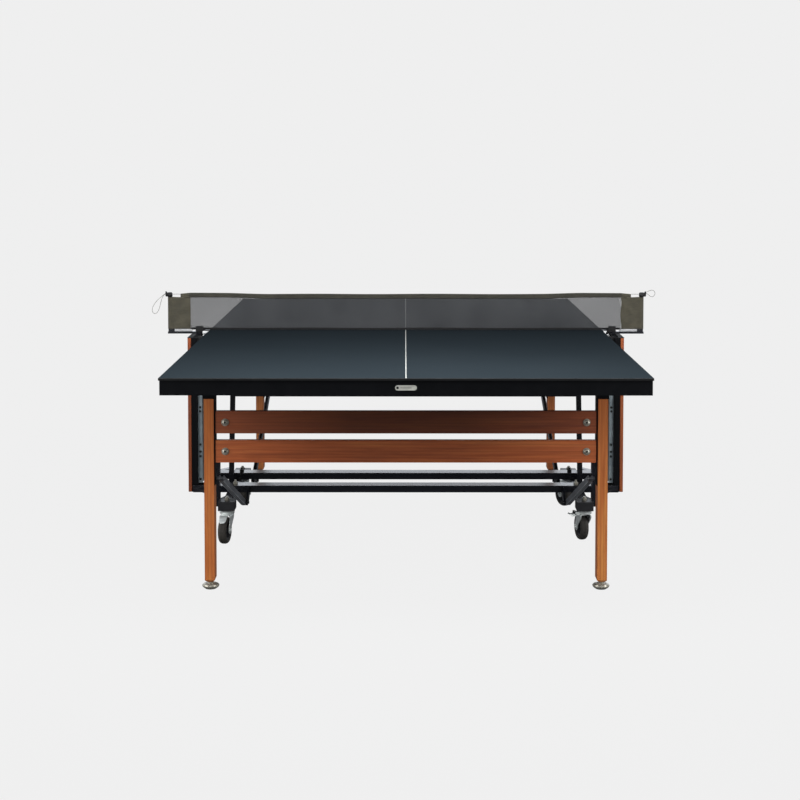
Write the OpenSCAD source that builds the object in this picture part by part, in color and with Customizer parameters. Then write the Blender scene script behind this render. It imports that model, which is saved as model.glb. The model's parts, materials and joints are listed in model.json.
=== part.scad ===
// Folding table-tennis table: two hinged halves with wooden leg frames on a wheeled steel chassis,
// wood-clad side panels with guide rails, and a canvas-ended net across the middle.
// Origin on the floor under the table's centre, +X across the table, +Y along it, +Z up.
// Everything is drawn for the near half (-Y) and the right side (+X), then mirrored.

/* [Playing surface] */
// Length of the whole table
table_l = 2740; // [2700:10:2760]
// Width of the table
table_w = 1525; // [1515:1:1530]
// Height of the playing surface above the floor
table_h = 760; // [758:1:762]
// Gap between the two halves
half_gap = 5; // [4:1:8]
// Thickness of the laminate sheet
top_t = 8; // [6:1:9]

/* [Apron] */
// Height of the steel rails under the sheet
apron_h = 46; // [44:1:46]
// How far the sheet overhangs the rails
apron_inset = 3.5; // [2.5:0.5:5]
// Thickness of the folded steel
apron_t = 2.5; // [2:0.5:3]
// Depth of the folded lips
apron_lip = 25; // [20:1:28]

/* [Legs] */
// Distance from the centre to the middle of a leg, across the table
leg_x = 650.5; // [640:0.5:660]
// Distance from the net to the middle of a leg, along the table
leg_y = 970; // [940:5:1000]
// Leg section across the table
leg_w = 33; // [30:1:36]
// Leg section along the table
leg_d = 60; // [50:1:62]
// Height of the wood's upper end
leg_top = 640; // [630:1:642]
// Height of the leg hinge
leg_pivot_z = 672; // [670:1:674]
// Height of one slat
slat_h = 74; // [70:1:78]
// Thickness of a slat
slat_t = 22; // [18:1:24]
// Lower edge of the lower slat
slat_low_z = 428; // [420:1:430]
// Lower edge of the upper slat
slat_high_z = 525; // [518:1:526]

/* [Chassis] */
// Distance of the caster axes from the centre, across the table
caster_x = 666; // [660:1:672]
// Distance of the caster axes from the net, along the table
caster_y = 300; // [280:5:320]
// Height of the underside of the base rails
rail_z = 121; // [121:1:123]
// Height of a base rail
rail_h = 34; // [30:1:34]
// Width of a base rail
rail_w = 32; // [28:1:34]
// Distance of the cross tubes from the net
tube_y = 126; // [122:1:130]
// Depth of a cross tube along the table
tube_d = 65; // [60:1:68]
// Height of a cross tube
tube_h = 26; // [24:1:28]
// Wheel diameter
wheel_d = 100; // [96:1:100]

/* [Side panels] */
// Outer face of the wooden planks, from the centre
panel_x = 828; // [824:1:830]
// Thickness of the planks
plank_t = 13; // [10:1:15]
// Width of a side panel along the table
panel_d = 318; // [310:1:324]
// Height of the panels' upper edge
panel_top = 747; // [746:1:748]

/* [Net] */
// Height of the net's upper edge
net_top = 902.5; // [900:0.5:904]
// Half of the width of the mesh
mesh_x = 835; // [830:1:840]
// Distance of a net post from the centre
post_x = 917; // [914:1:920]

/* [Fold] */
// Distance from the net to a half's pivot
pivot_y = 126; // [124:1:130]
// Height of a half's pivot with the table open
pivot_z = 738; // [736:1:738]
// Distance from the net to the chassis end of a link
link_c_y = 210; // [200:1:220]
// Height of the chassis end of a link
link_c_z = 128; // [126:1:132]
// Distance from the net to the leg end of a link
link_g_y = 960; // [950:1:970]
// Height of the leg end of a link
link_g_z = 368; // [360:1:376]

/* [Hidden] */

$fn = 48;
// A bore is this much larger in radius than the pin in it
fit = 0.06;
// Amount by which a cutting shape passes the face it cuts
cut = 1;
// Hairline between two pieces of one node that meet
seam = 0.1;

// Playing surface and apron
top_z0 = table_h - top_t;
apron_z0 = top_z0 - apron_h;
apron_x = table_w / 2 - apron_inset;
apron_y_out = -(table_l / 2 - apron_inset);
apron_y_in = -(half_gap / 2 + apron_inset);
rib_x = 380;
rib_w = 30;
rib_h = 36;

// Leg frame
leg_x0 = leg_x - leg_w / 2;
leg_x1 = leg_x + leg_w / 2;
leg_z0 = 27;
leg_chamfer = 7;
bracket_t = 3.5;
cap_top = 700;
ear_t = 3;
ear_gap = 1;
ear_x0 = leg_x0 - bracket_t - ear_gap - ear_t;
ear_x1 = leg_x1 + bracket_t + ear_gap;
hinge_pin_r = 6;
slat_x = 629;
slat_y0 = -leg_y - leg_d / 2 + 4;
bolt_x = 597;
bolt_r = 4;
foot_r = 28.5;
foot_stem_r = 5;

// Links
link_x0 = 605.5;
link_w = 16;
link_h = 20;
link_wall = 2.5;
link_pin_r = 6;
link_len = norm([link_g_y - link_c_y, link_g_z - link_c_z]);
link_angle = atan2(link_g_z - link_c_z, -(link_g_y - link_c_y));

// Chassis
rail_top = rail_z + rail_h;
tube_z = rail_top;
tube_top = tube_z + tube_h;
tube_wall = 2.5;
block_w = 62;
block_y0 = -335;
block_y1 = -265;
gusset_y1 = -225;
frame_x1 = panel_x - plank_t;
frame_t = 4;
flange_t = 3;
flange_x0 = 792;
panel_z0 = 157;
plank_gap = 3;
plank_w = (panel_d - 2 * plank_gap) / 3;
guide_x0 = 775;
guide_w = 40;
guide_z0 = 190;
guide_slot = 18;
guide_t = 2;
pivot_pin_r = 7;
upright_top = 520;
upright_w = 19;

// Casters
fork_top = 120.5;
stem_r = 6;
trail = 35;
axle_r = 5;
tyre_w = 32;
hub_r = 34;
cheek_x0 = 18;
cheek_t = 3;
pedal_x = 34;
pedal_l = 29;
pedal_z = 111;
pedal_pin_r = 2.5;
// Turn of each caster about its own axis: near left, near right, far left, far right
caster_turn = [-9, -169, 175, -154];

// Net
arm_z0 = panel_top;
arm_h = 8;
tape_z0 = 761.5;
mesh_z0 = 766;
mesh_z1 = 885;
binding_x = 874;
canvas_x1 = post_x - 5.5;
post_r = 5;
knob_z0 = 889;
cord_r = 0.9;
cord_sides = 8;
// Samples between two points of a cord's route
cord_steps = 2;
// The loops of tensioning cord that hang from the two knobs
cord_left = [
  [-929, 0, 903], [-934, -1, 901], [-941, -2, 896], [-950, -3, 889], [-960, -4, 880],
  [-970, -5, 869], [-978, -5, 857], [-983, -4, 845], [-983, -3, 833], [-978, -1, 825],
  [-970, 1, 825], [-963, 3, 832], [-958, 4, 843], [-954, 4, 857], [-950, 4, 872],
  [-946, 4, 885], [-940, 4, 895], [-934, 3, 900], [-929, 3, 901]
];
cord_right = [
  [929, 0, 906], [933, -1, 908], [939, -2, 911], [946, -3, 914], [953, -3, 916],
  [960, -3, 915], [965, -2, 910], [967, -1, 903], [965, 0, 896], [960, 1, 891],
  [954, 2, 890], [948, 3, 893], [942, 3, 898], [935, 3, 902], [929, 3, 903]
];

// ---- helpers ----

// Draws children for the near half, or mirrored for the far half
module half(far) {
  if (far) mirror([0, 1, 0]) children();
  else children();
}

// Draws children on the right, or mirrored on the left
module side(left) {
  if (left) mirror([1, 0, 0]) children();
  else children();
}

module both_sides() {
  for (left = [false, true]) side(left) children();
}

module both_halves() {
  for (far = [false, true]) half(far) children();
}

// Extrudes a shape drawn with Y across and Z up, from x0 by t along X
module in_yz(x0, t) {
  translate([x0, 0, 0]) rotate([90, 0, 90]) linear_extrude(t) children();
}

// Extrudes a shape drawn with X across and Z up, from y0 by t along Y
module in_xz(y0, t) {
  translate([0, y0 + t, 0]) rotate([90, 0, 0]) linear_extrude(t) children();
}

// A cylinder along X
module rod_x(x0, x1, y, z, r) {
  translate([x0, y, z]) rotate([0, 90, 0]) cylinder(h = x1 - x0, r = r);
}

// A cylinder along Y
module rod_y(y0, y1, x, z, r) {
  translate([x, y0, z]) rotate([-90, 0, 0]) cylinder(h = y1 - y0, r = r);
}

// A rectangular tube along X, open at its ends
module tube_x(x0, x1, y0, d, z0, h, wall) {
  difference() {
    translate([x0, y0, z0]) cube([x1 - x0, d, h]);
    translate([x0 - cut, y0 + wall, z0 + wall]) cube([x1 - x0 + 2 * cut, d - 2 * wall, h - 2 * wall]);
  }
}

// A rectangular tube along Y, open at its ends
module tube_y(y0, y1, x0, w, z0, h, wall) {
  difference() {
    translate([x0, y0, z0]) cube([w, y1 - y0, h]);
    translate([x0 + wall, y0 - cut, z0 + wall]) cube([w - 2 * wall, y1 - y0 + 2 * cut, h - 2 * wall]);
  }
}

// ---- table halves ----

module top_sheet(far) {
  color("#2e3940") half(far)
    translate([-table_w / 2, -table_l / 2, top_z0]) cube([table_w, (table_l - half_gap) / 2, top_t]);
}

// One folded rail with mitred ends: its outer wall faces -Y at y = 0
module apron_rail(length) {
  intersection() {
    in_yz(-length / 2, length) polygon([
      [0, 0], [apron_lip, 0], [apron_lip, apron_t], [apron_t, apron_t],
      [apron_t, apron_h - apron_t], [apron_lip, apron_h - apron_t], [apron_lip, apron_h], [0, apron_h]
    ]);
    linear_extrude(apron_h) polygon([
      [-length / 2 + seam, 0], [length / 2 - seam, 0],
      [length / 2 - apron_lip - seam, apron_lip], [-length / 2 + apron_lip + seam, apron_lip]
    ]);
  }
}

module apron(far) {
  side_len = apron_y_in - apron_y_out;
  color("#121316") half(far) {
    translate([0, apron_y_out, apron_z0]) apron_rail(2 * apron_x);
    translate([0, apron_y_in, apron_z0]) rotate([0, 0, 180]) apron_rail(2 * apron_x);
    both_sides() difference() {
      translate([apron_x, (apron_y_in + apron_y_out) / 2, apron_z0]) rotate([0, 0, 90]) apron_rail(side_len);
      rod_x(apron_x - apron_lip, apron_x + cut, -pivot_y, pivot_z, pivot_pin_r + 3);
    }
  }
}

// Lengthwise stiffeners between the lips of the end rails
module ribs(far) {
  color("#16171a") half(far) both_sides()
    tube_y(apron_y_out + apron_lip, apron_y_in - apron_lip, rib_x - rib_w / 2, rib_w, top_z0 - rib_h, rib_h, 2);
}

// Forked bracket that carries a leg's hinge pin, and the block round a half's pivot
module hinge_brackets(far) {
  ear_top_d = 64;
  ear_r = 15;
  color("#141518") half(far) both_sides() {
    for (x = [ear_x0, ear_x1]) in_yz(x, ear_t) {
      translate([-leg_y, leg_pivot_z]) circle(ear_r);
      polygon([
        [-leg_y - ear_r, leg_pivot_z], [-leg_y + ear_r, leg_pivot_z],
        [-leg_y + ear_top_d / 2, top_z0], [-leg_y - ear_top_d / 2, top_z0]
      ]);
    }
    translate([ear_x0, -leg_y - ear_top_d / 2, top_z0 - 5]) cube([ear_x1 + ear_t - ear_x0, ear_top_d, 5]);
    rod_x(ear_x0 - 3, ear_x1 + ear_t + 3, -leg_y, leg_pivot_z, hinge_pin_r);
    difference() {
      translate([731, -pivot_y - 16, 710]) cube([apron_x - apron_t - 731, 32, top_z0 - apron_t - 710]);
      rod_x(731 - cut, apron_x, -pivot_y, pivot_z, pivot_pin_r + fit);
    }
  }
}

// Plain badge with rounded ends and two rivets
module nameplate() {
  plate_w = 67;
  plate_h = 16;
  plate_z = 730;
  plate_t = 1.5;
  color("#8e9089") {
    in_xz(apron_y_out - plate_t, plate_t) {
      translate([-(plate_w - plate_h) / 2, plate_z - plate_h / 2]) square([plate_w - plate_h, plate_h]);
      for (s = [-1, 1]) translate([s * (plate_w - plate_h) / 2, plate_z]) circle(plate_h / 2);
    }
    for (s = [-1, 1]) rod_y(apron_y_out - plate_t - 0.8, apron_y_out - plate_t, s * 26, plate_z, 2.2);
  }
}

// ---- leg frames ----

// A leg with a chamfered lower end and a blind hole for the foot's stem
module legs(far) {
  c = leg_chamfer;
  y0 = -leg_y - leg_d / 2;
  y1 = -leg_y + leg_d / 2;
  color("#a35b33") half(far) both_sides() difference() {
    intersection() {
      in_yz(leg_x0, leg_w) polygon([
        [y0 + c, leg_z0], [y1 - c, leg_z0], [y1, leg_z0 + c], [y1, leg_top], [y0, leg_top], [y0, leg_z0 + c]
      ]);
      in_xz(y0, leg_d) polygon([
        [leg_x0 + c, leg_z0], [leg_x1 - c, leg_z0], [leg_x1, leg_z0 + c],
        [leg_x1, leg_top], [leg_x0, leg_top], [leg_x0, leg_z0 + c]
      ]);
    }
    translate([leg_x, -leg_y, leg_z0 - cut]) cylinder(h = 50, r = foot_stem_r + fit);
  }
}

// Steel head of a leg, with the long inner plate that carries the slats and the link
module leg_brackets(far) {
  x0 = leg_x0 - bracket_t;
  x1 = leg_x1 + bracket_t;
  head_h = cap_top - leg_top;
  head_y0 = -leg_y - leg_d / 2;
  plate_y0 = -leg_y - 28;
  plate_d = 56;
  plate_z0 = 352;
  tab_x0 = 585;
  tab_y0 = slat_y0 + slat_t;
  tab_t = 4;
  color("#17181b") half(far) both_sides() difference() {
    union() {
      translate([x0, head_y0, leg_top]) cube([x1 - x0, leg_d, 4]);
      for (x = [x0, x1 - bracket_t]) translate([x, head_y0, leg_top]) cube([bracket_t, leg_d, head_h]);
      translate([x0, head_y0, leg_top]) cube([x1 - x0, bracket_t, head_h]);
      translate([x0, plate_y0, plate_z0]) cube([bracket_t, plate_d, leg_top - plate_z0 + cut]);
      for (z = [slat_low_z, slat_high_z])
        translate([tab_x0, tab_y0, z + 5]) cube([x0 - tab_x0 + cut, tab_t, slat_h - 10]);
    }
    rod_x(x0 - cut, x1 + cut, -leg_y, leg_pivot_z, hinge_pin_r + fit);
    for (z = [slat_low_z, slat_high_z])
      rod_y(tab_y0 - cut, tab_y0 + tab_t + cut, bolt_x, z + slat_h / 2, bolt_r);
  }
}

module slats(far) {
  color("#8a4a2a") half(far) for (z = [slat_low_z, slat_high_z]) difference() {
    translate([-slat_x, slat_y0, z]) cube([2 * slat_x, slat_t, slat_h]);
    for (s = [-1, 1]) rod_y(slat_y0 - cut, slat_y0 + slat_t + cut, s * bolt_x, z + slat_h / 2, bolt_r);
  }
}

// Dome-headed bolts through the slats, with nuts behind the tabs
module slat_bolts(far) {
  head_r = 12.5;
  head_h = 6;
  color("#949285") half(far) both_sides() for (z = [slat_low_z, slat_high_z]) {
    translate([bolt_x, slat_y0, z + slat_h / 2]) rotate([90, 0, 0])
      rotate_extrude() polygon([[0, 0], [head_r, 0], [head_r, 1.5], [head_r - 3, 4], [head_r - 8, head_h], [0, head_h]]);
    rod_y(slat_y0 - 0.5, slat_y0 + slat_t + 12, bolt_x, z + slat_h / 2, bolt_r - fit);
    translate([bolt_x, slat_y0 + slat_t + 4, z + slat_h / 2]) rotate([-90, 0, 0]) cylinder(h = 6, r = 8, $fn = 6);
  }
}

// Levelling foot: a turned steel bowl on a threaded stem
module foot(far, left) {
  color("#8b8780") half(far) side(left) translate([leg_x, -leg_y, 0]) rotate_extrude() polygon([
    [0, 0], [foot_r - 10, 0], [foot_r - 4, 4.5], [foot_r - 0.8, 8], [foot_r, 11], [foot_r - 0.8, 13.5],
    [foot_r - 4, 16.5], [foot_r - 9, 18], [9, 18.5], [9, 23], [foot_stem_r, 23], [foot_stem_r, 56], [0, 56]
  ]);
}

// ---- links ----

// Places children in a link's own frame: origin at its chassis end, +X along it
module along_link() {
  translate([-link_c_y, link_c_z]) rotate(link_angle) children();
}

// Channel-section link, open on its upper side, with its leg-end bolt
module links(far) {
  r = link_h / 2;
  color("#54565a") half(far) both_sides() {
    difference() {
      in_yz(link_x0, link_w) along_link() {
        translate([0, -r]) square([link_len, link_h]);
        for (x = [0, link_len]) translate([x, 0]) circle(r);
      }
      in_yz(link_x0 + link_wall, link_w - 2 * link_wall) along_link()
        translate([-r - cut, -r - cut]) square([link_len + 2 * (r + cut), link_h - link_wall + cut]);
      rod_x(link_x0 - cut, link_x0 + link_w + cut, -link_c_y, link_c_z, link_pin_r + fit);
    }
    rod_x(link_x0 - 4, leg_x0 - bracket_t - 1, -link_g_y, link_g_z, link_pin_r);
  }
}

// ---- chassis ----

module base_rails() {
  color("#17181c") both_sides()
    tube_y(block_y1, -block_y1, caster_x - rail_w / 2, rail_w, rail_z, rail_h, tube_wall);
}

// Solid block over each caster, tapering into the rail, bored for the caster's stem
module caster_blocks() {
  x0 = caster_x - block_w / 2;
  x1 = caster_x + block_w / 2;
  color("#28282a") both_halves() both_sides() {
    difference() {
      translate([x0, block_y0, rail_z]) cube([block_w, block_y1 - block_y0, rail_h]);
      translate([caster_x, -caster_y, rail_z - cut]) cylinder(h = 26, r = stem_r + fit);
    }
    translate([0, 0, rail_z]) linear_extrude(rail_h) polygon([
      [x0, block_y1], [caster_x - rail_w / 2, block_y1], [caster_x - rail_w / 2, gusset_y1]
    ]);
    translate([0, 0, rail_z]) linear_extrude(rail_h) polygon([
      [x1, block_y1], [caster_x + rail_w / 2, gusset_y1], [caster_x + rail_w / 2, block_y1]
    ]);
  }
}

module cross_tubes() {
  tube_x1 = frame_x1 - frame_t;
  color("#1b1c21") both_halves()
    tube_x(-tube_x1, tube_x1, -tube_y - tube_d / 2, tube_d, tube_z, tube_h, tube_wall);
}

// Pressed steel tray behind the planks
module side_frame(left) {
  flange_z0 = 184;
  x0 = frame_x1 - frame_t;
  h = panel_top - flange_z0;
  color("#15161a") side(left) {
    translate([x0, -panel_d / 2, panel_z0]) cube([frame_t, panel_d, panel_top - panel_z0]);
    for (y = [-panel_d / 2, panel_d / 2 - flange_t])
      translate([flange_x0, y, flange_z0]) cube([x0 - flange_x0 + cut, flange_t, h]);
    for (z = [flange_z0, panel_top - flange_t])
      translate([flange_x0, -panel_d / 2, z]) cube([x0 - flange_x0 + cut, panel_d, flange_t]);
  }
}

module side_planks(left) {
  color("#7a4129") side(left) for (i = [0:2])
    translate([frame_x1, -panel_d / 2 + i * (plank_w + plank_gap), panel_z0])
      cube([plank_t, plank_w, panel_top - panel_z0]);
}

// C-section guides for the sliding pivots, on short spacers
module guide_rails() {
  depth = flange_x0 - guide_x0;
  w = guide_w / 2;
  s = guide_slot / 2;
  t = guide_t;
  color("#8f9a9e") both_sides() both_halves() translate([0, -pivot_y, 0]) {
    translate([guide_x0, 0, guide_z0]) linear_extrude(panel_top - guide_z0) polygon([
      [0, -s], [0, -w], [depth, -w], [depth, w], [0, w], [0, s], [t, s], [t, w - t],
      [depth - t, w - t], [depth - t, -w + t], [t, -w + t], [t, -s]
    ]);
    for (z = [230, 470, 700])
      translate([flange_x0 - 0.5, -12, z]) cube([frame_x1 - frame_t - flange_x0 + 0.5, 24, 16]);
  }
}

// Plates hanging from the cross tubes, each with the pin that a link turns on
module link_brackets() {
  y_near = -tube_y - tube_d / 2;
  plate_x = 597;
  plate_t = 6;
  color("#222327") both_halves() both_sides() {
    in_yz(plate_x, plate_t) {
      translate([-link_c_y, link_c_z]) circle(12);
      polygon([
        [-98, tube_z], [y_near, tube_z], [y_near, tube_z + 22], [y_near - 12, tube_z + 22],
        [-link_c_y - 10, link_c_z + 6], [-link_c_y + 3, link_c_z - 11.5]
      ]);
    }
    rod_x(plate_x - 5, link_x0 + link_w + 1.5, -link_c_y, link_c_z, link_pin_r);
  }
}

// Upright beside each caster block, braced back to the side panel
module chassis_posts() {
  x0 = caster_x + block_w / 2;
  post_w = 15;
  y0 = -273;
  y1 = -233;
  z0 = 125;
  z1 = 345;
  brace_z = 165;
  brace_t = 5;
  color("#15161b") both_halves() both_sides() {
    translate([x0, y0, z0]) cube([post_w, y1 - y0, z1 - z0]);
    translate([0, 0, brace_z]) linear_extrude(brace_t) polygon([
      [x0 + post_w - cut, y0], [x0 + post_w + 4, y0], [frame_x1 - frame_t, -panel_d / 2],
      [flange_x0, -panel_d / 2], [x0 + post_w - cut, y1]
    ]);
  }
}

// Leaning bars of the centre frame, on small foot plates over the base rails
module centre_uprights() {
  x_low = 681;
  x_high = 673;
  w = upright_w / 2;
  color("#101116") both_sides() {
    in_xz(-w, upright_w) polygon([
      [x_low - w, rail_top], [x_low + w, rail_top], [x_high + w, upright_top], [x_high - w, upright_top]
    ]);
    translate([caster_x - rail_w / 2, -25, rail_top]) cube([block_w / 2 + rail_w / 2 - 6, 50, 6]);
  }
}

module centre_bar() {
  x = 673 - upright_w / 2;
  color("#101116") tube_x(-x, x, -upright_w / 2, upright_w, upright_top - upright_w, upright_w, 2);
}

// Fasteners of the chassis: caster nuts, tube bolts and guide-rail screws
module chassis_bolts() {
  tube_bolt_x = 652;
  guide_bolt_x = 783;
  color("#a4a49a") both_halves() both_sides() {
    translate([caster_x, -caster_y, rail_top]) cylinder(h = 9, r = 9, $fn = 6);
    translate([caster_x, -caster_y, rail_top + 9]) cylinder(h = 6, r = 5);
    translate([tube_bolt_x, -tube_y, tube_top]) cylinder(h = 8, r = 9, $fn = 6);
    translate([tube_bolt_x, -tube_y, tube_top + 8]) cylinder(h = 8, r = 4);
    for (z = [204, 292, 310, 337, 465, 480])
      rod_y(-pivot_y - guide_w / 2 - 4, -pivot_y - guide_w / 2, guide_bolt_x, z, 4.5);
  }
}

// Sliding block in each guide rail, with the pin that a half turns on
module carriage(far) {
  color("#2b2d31") half(far) both_sides() {
    translate([guide_x0 + guide_t + 0.5, -pivot_y - 17.5, pivot_z - 24]) cube([12, 35, 32]);
    rod_x(735, guide_x0 + guide_t + 1, -pivot_y, pivot_z, pivot_pin_r);
  }
}

// ---- casters ----

// Turns children of one caster from its own frame (trail along -Y, axis at the origin) to its place
module at_caster(far, left) {
  turn = caster_turn[(far ? 2 : 0) + (left ? 0 : 1)];
  translate([(left ? -1 : 1) * caster_x, (far ? 1 : -1) * caster_y, 0]) rotate([0, 0, turn]) children();
}

// Zinc fork with its swivel head, stem and axle; with lugs for a pedal, or with a guard over the wheel
module caster_fork(far, left, braked) {
  crown_z = 104;
  cheek_r = 14;
  axle_z = wheel_d / 2;
  lug_y = 12;
  guard_r = 53.5;
  guard_t = 3;
  guard_w = 27;
  color("#b9beb8") at_caster(far, left) {
    rotate_extrude() polygon([
      [0, crown_z], [25, crown_z], [28, 109], [28, 114], [20, fork_top], [stem_r, fork_top],
      [stem_r, rail_z + 22], [0, rail_z + 22]
    ]);
    translate([-cheek_x0 - cheek_t, -30, crown_z]) cube([2 * (cheek_x0 + cheek_t), 54, 4]);
    for (x = [-cheek_x0 - cheek_t, cheek_x0]) in_yz(x, cheek_t) {
      translate([-trail, axle_z]) circle(cheek_r);
      polygon([
        [-trail - cheek_r, axle_z], [-trail + cheek_r, axle_z], [24, crown_z - 8], [24, crown_z + 4],
        [-30, crown_z + 4], [-38, crown_z - 14]
      ]);
    }
    rod_x(-cheek_x0 - cheek_t - 5, cheek_x0 + cheek_t + 5, -trail, axle_z, axle_r);
    if (braked) {
      for (y = [-lug_y - 3, lug_y]) translate([cheek_x0 + cheek_t - cut, y, 104]) cube([pedal_x - cheek_x0 + 3, 3, 12]);
      rod_y(-lug_y - 3, lug_y + 3, pedal_x, pedal_z, pedal_pin_r);
    } else {
      in_yz(-guard_w / 2, guard_w) polygon(concat(
        [for (a = [-8:5:52]) [-trail - (guard_r + guard_t) * sin(a), axle_z + (guard_r + guard_t) * cos(a)]],
        [for (a = [52:-5:-8]) [-trail - guard_r * sin(a), axle_z + guard_r * cos(a)]]
      ));
    }
  }
}

// Hub and tyre as two solids
module caster_wheel(far, left) {
  r = wheel_d / 2;
  h = tyre_w / 2;
  color("#3a3836") at_caster(far, left) translate([0, -trail, r]) rotate([0, 90, 0]) {
    rotate_extrude() polygon([
      [axle_r + fit, -h], [14, -h], [14, -8], [hub_r - 6, -8], [hub_r - 6, -12], [hub_r, -12],
      [hub_r, 12], [hub_r - 6, 12], [hub_r - 6, 8], [14, 8], [14, h], [axle_r + fit, h]
    ]);
    rotate_extrude() polygon([
      [hub_r + seam, -h + 3], [hub_r + 6, -h], [r - 6, -h + 2], [r - 1.5, -h + 7], [r, -h + 12],
      [r, h - 12], [r - 1.5, h - 7], [r - 6, h - 2], [hub_r + 6, h], [hub_r + seam, h - 3]
    ]);
  }
}

// Foot pedal beside the fork
module brake_pedal(far, left) {
  color("#9c9f9b") at_caster(far, left) difference() {
    union() {
      rod_y(-11, 11, pedal_x, pedal_z, 4.5);
      translate([pedal_x, -11, pedal_z - 4]) cube([pedal_l, 22, 4]);
    }
    rod_y(-11 - cut, 11 + cut, pedal_x, pedal_z, pedal_pin_r + fit);
  }
}

// ---- net ----

// Flat arms on the side panels that carry the posts
module net_arms() {
  arm_x0 = 772;
  screw_x = 785;
  color("#1d1e20") both_sides() difference() {
    translate([arm_x0, -10, arm_z0]) cube([923 - arm_x0, 20, arm_h]);
    translate([screw_x, 0, arm_z0 - cut]) cylinder(h = arm_h + 2 * cut, r = 4 + fit);
  }
}

module net_posts() {
  color("#232427") both_sides()
    translate([post_x, 0, arm_z0 + arm_h]) cylinder(h = knob_z0 - arm_z0 - arm_h, r = post_r);
}

// Post cap with the cord cleat and its horn on the outer side
module net_knobs() {
  color("#151517") both_sides() {
    translate([post_x - 2, 0, knob_z0]) rotate_extrude() polygon([
      [0, 0], [8, 0], [10, 3], [10, 14], [7, 18], [0, 18]
    ]);
    in_xz(-6, 12) polygon([
      [post_x, knob_z0 + 2], [930, knob_z0 + 2], [932, knob_z0 + 5], [932, knob_z0 + 22],
      [929, knob_z0 + 22], [926, knob_z0 + 17], [post_x, knob_z0 + 17]
    ]);
  }
}

// Clamp in front of the net on each arm: a jaw above and a bent lever inboard
module net_clamps() {
  y0 = -16;
  jaw_t = 13;
  color("#1a1b1d") both_sides() {
    translate([786, y0, arm_z0 + arm_h]) cube([28, jaw_t, 22]);
    in_xz(y0, 6) polygon([
      [786, 763], [786, 756], [776, 740], [768, 740], [770, 744], [779, 763]
    ]);
  }
}

// Screw under each arm that holds the clamp
module net_screw(left) {
  color("#2a2b2d") side(left) translate([785, 0, 0]) {
    translate([0, 0, 714]) cylinder(h = arm_z0 + arm_h - 714, r = 4);
    translate([0, 0, 712]) cylinder(h = 12, r = 11);
    translate([-13, -3, 718]) cube([26, 6, 10]);
  }
}

module net_mesh() {
  t = 1.2;
  color("#3a3b3c") translate([-mesh_x, -t / 2, mesh_z0]) cube([2 * mesh_x, t, mesh_z1 - mesh_z0]);
}

module net_canvas() {
  t = 2.4;
  z0 = 760;
  color("#545242") both_sides()
    translate([mesh_x, -t / 2, z0]) cube([canvas_x1 - mesh_x, t, mesh_z1 - z0]);
}

// Canvas binding along the upper edge, with the cord showing at both ends
module net_binding() {
  t = 5;
  color("#4c4b42") {
    translate([-binding_x, -t / 2, mesh_z1]) cube([2 * binding_x, t, net_top - mesh_z1]);
    both_sides() rod_x(binding_x - cut, 901, 0, 900, cord_r);
  }
}

module net_tape() {
  t = 2.4;
  color("#141416") translate([-mesh_x, -t / 2, tape_z0]) cube([2 * mesh_x, t, mesh_z0 - tape_z0]);
}

// Point of a Catmull-Rom curve through a, b, c, d, between b and c
function spline(a, b, c, d, t) =
  0.5 * (2 * b + (c - a) * t + (2 * a - 5 * b + 4 * c - d) * t * t + (3 * b - a - 3 * c + d) * t * t * t);

// The route with further points between its own
function smooth(route, steps) = let (n = len(route)) [
  for (i = [0:n - 2]) for (k = [0:steps - 1])
    spline(route[max(i - 1, 0)], route[i], route[i + 1], route[min(i + 2, n - 1)], k / steps),
  route[n - 1]
];

function unit(v) = v / norm(v);

// Directions of a path at its points
function tangents(path) = let (n = len(path)) [
  for (i = [0:n - 1]) unit(path[min(i + 1, n - 1)] - path[max(i - 1, 0)])
];

// A tube along a path that lies near the XZ plane, so Y serves as the reference direction
module cord(route) {
  path = smooth(route, cord_steps);
  along = tangents(path);
  n = len(path);
  m = cord_sides;
  points = [
    for (i = [0:n - 1]) let (u = unit(cross(along[i], [0, 1, 0])), v = cross(along[i], u))
      for (k = [0:m - 1]) path[i] + cord_r * (cos(360 * k / m) * u + sin(360 * k / m) * v)
  ];
  faces = concat(
    [[for (k = [0:m - 1]) k]],
    [for (i = [0:n - 2]) for (k = [0:m - 1]) let (j = (k + 1) % m)
      [i * m + k, (i + 1) * m + k, (i + 1) * m + j, i * m + j]],
    [[for (k = [m - 1:-1:0]) (n - 1) * m + k]]
  );
  color("#b9b8b2") polyhedron(points, faces);
}

base_rails();
caster_blocks();
cross_tubes();
side_frame(true);  // side_frame_left
side_frame(false);  // side_frame_right
side_planks(true);  // side_planks_left
side_planks(false);  // side_planks_right
guide_rails();
link_brackets();
chassis_posts();
centre_uprights();
centre_bar();
chassis_bolts();
net_arms();
net_posts();
net_knobs();
net_clamps();
net_screw(true);  // net_screw_left
net_screw(false);  // net_screw_right
net_mesh();
net_canvas();
net_binding();
net_tape();
cord(cord_left);  // net_cord_left
cord(cord_right);  // net_cord_right
carriage(false);  // carriage_near
carriage(true);  // carriage_far
top_sheet(false);  // top_near
top_sheet(true);  // top_far
apron(false);  // apron_near
apron(true);  // apron_far
ribs(false);  // ribs_near
ribs(true);  // ribs_far
hinge_brackets(false);  // hinge_brackets_near
hinge_brackets(true);  // hinge_brackets_far
nameplate();
legs(false);  // legs_near
legs(true);  // legs_far
leg_brackets(false);  // leg_brackets_near
leg_brackets(true);  // leg_brackets_far
slats(false);  // slats_near
slats(true);  // slats_far
slat_bolts(false);  // slat_bolts_near
slat_bolts(true);  // slat_bolts_far
foot(false, true);  // foot_near_left
foot(false, false);  // foot_near_right
foot(true, true);  // foot_far_left
foot(true, false);  // foot_far_right
links(false);  // links_near
links(true);  // links_far
caster_fork(false, true, false);  // caster_fork_near_left
caster_fork(false, false, true);  // caster_fork_near_right
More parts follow.
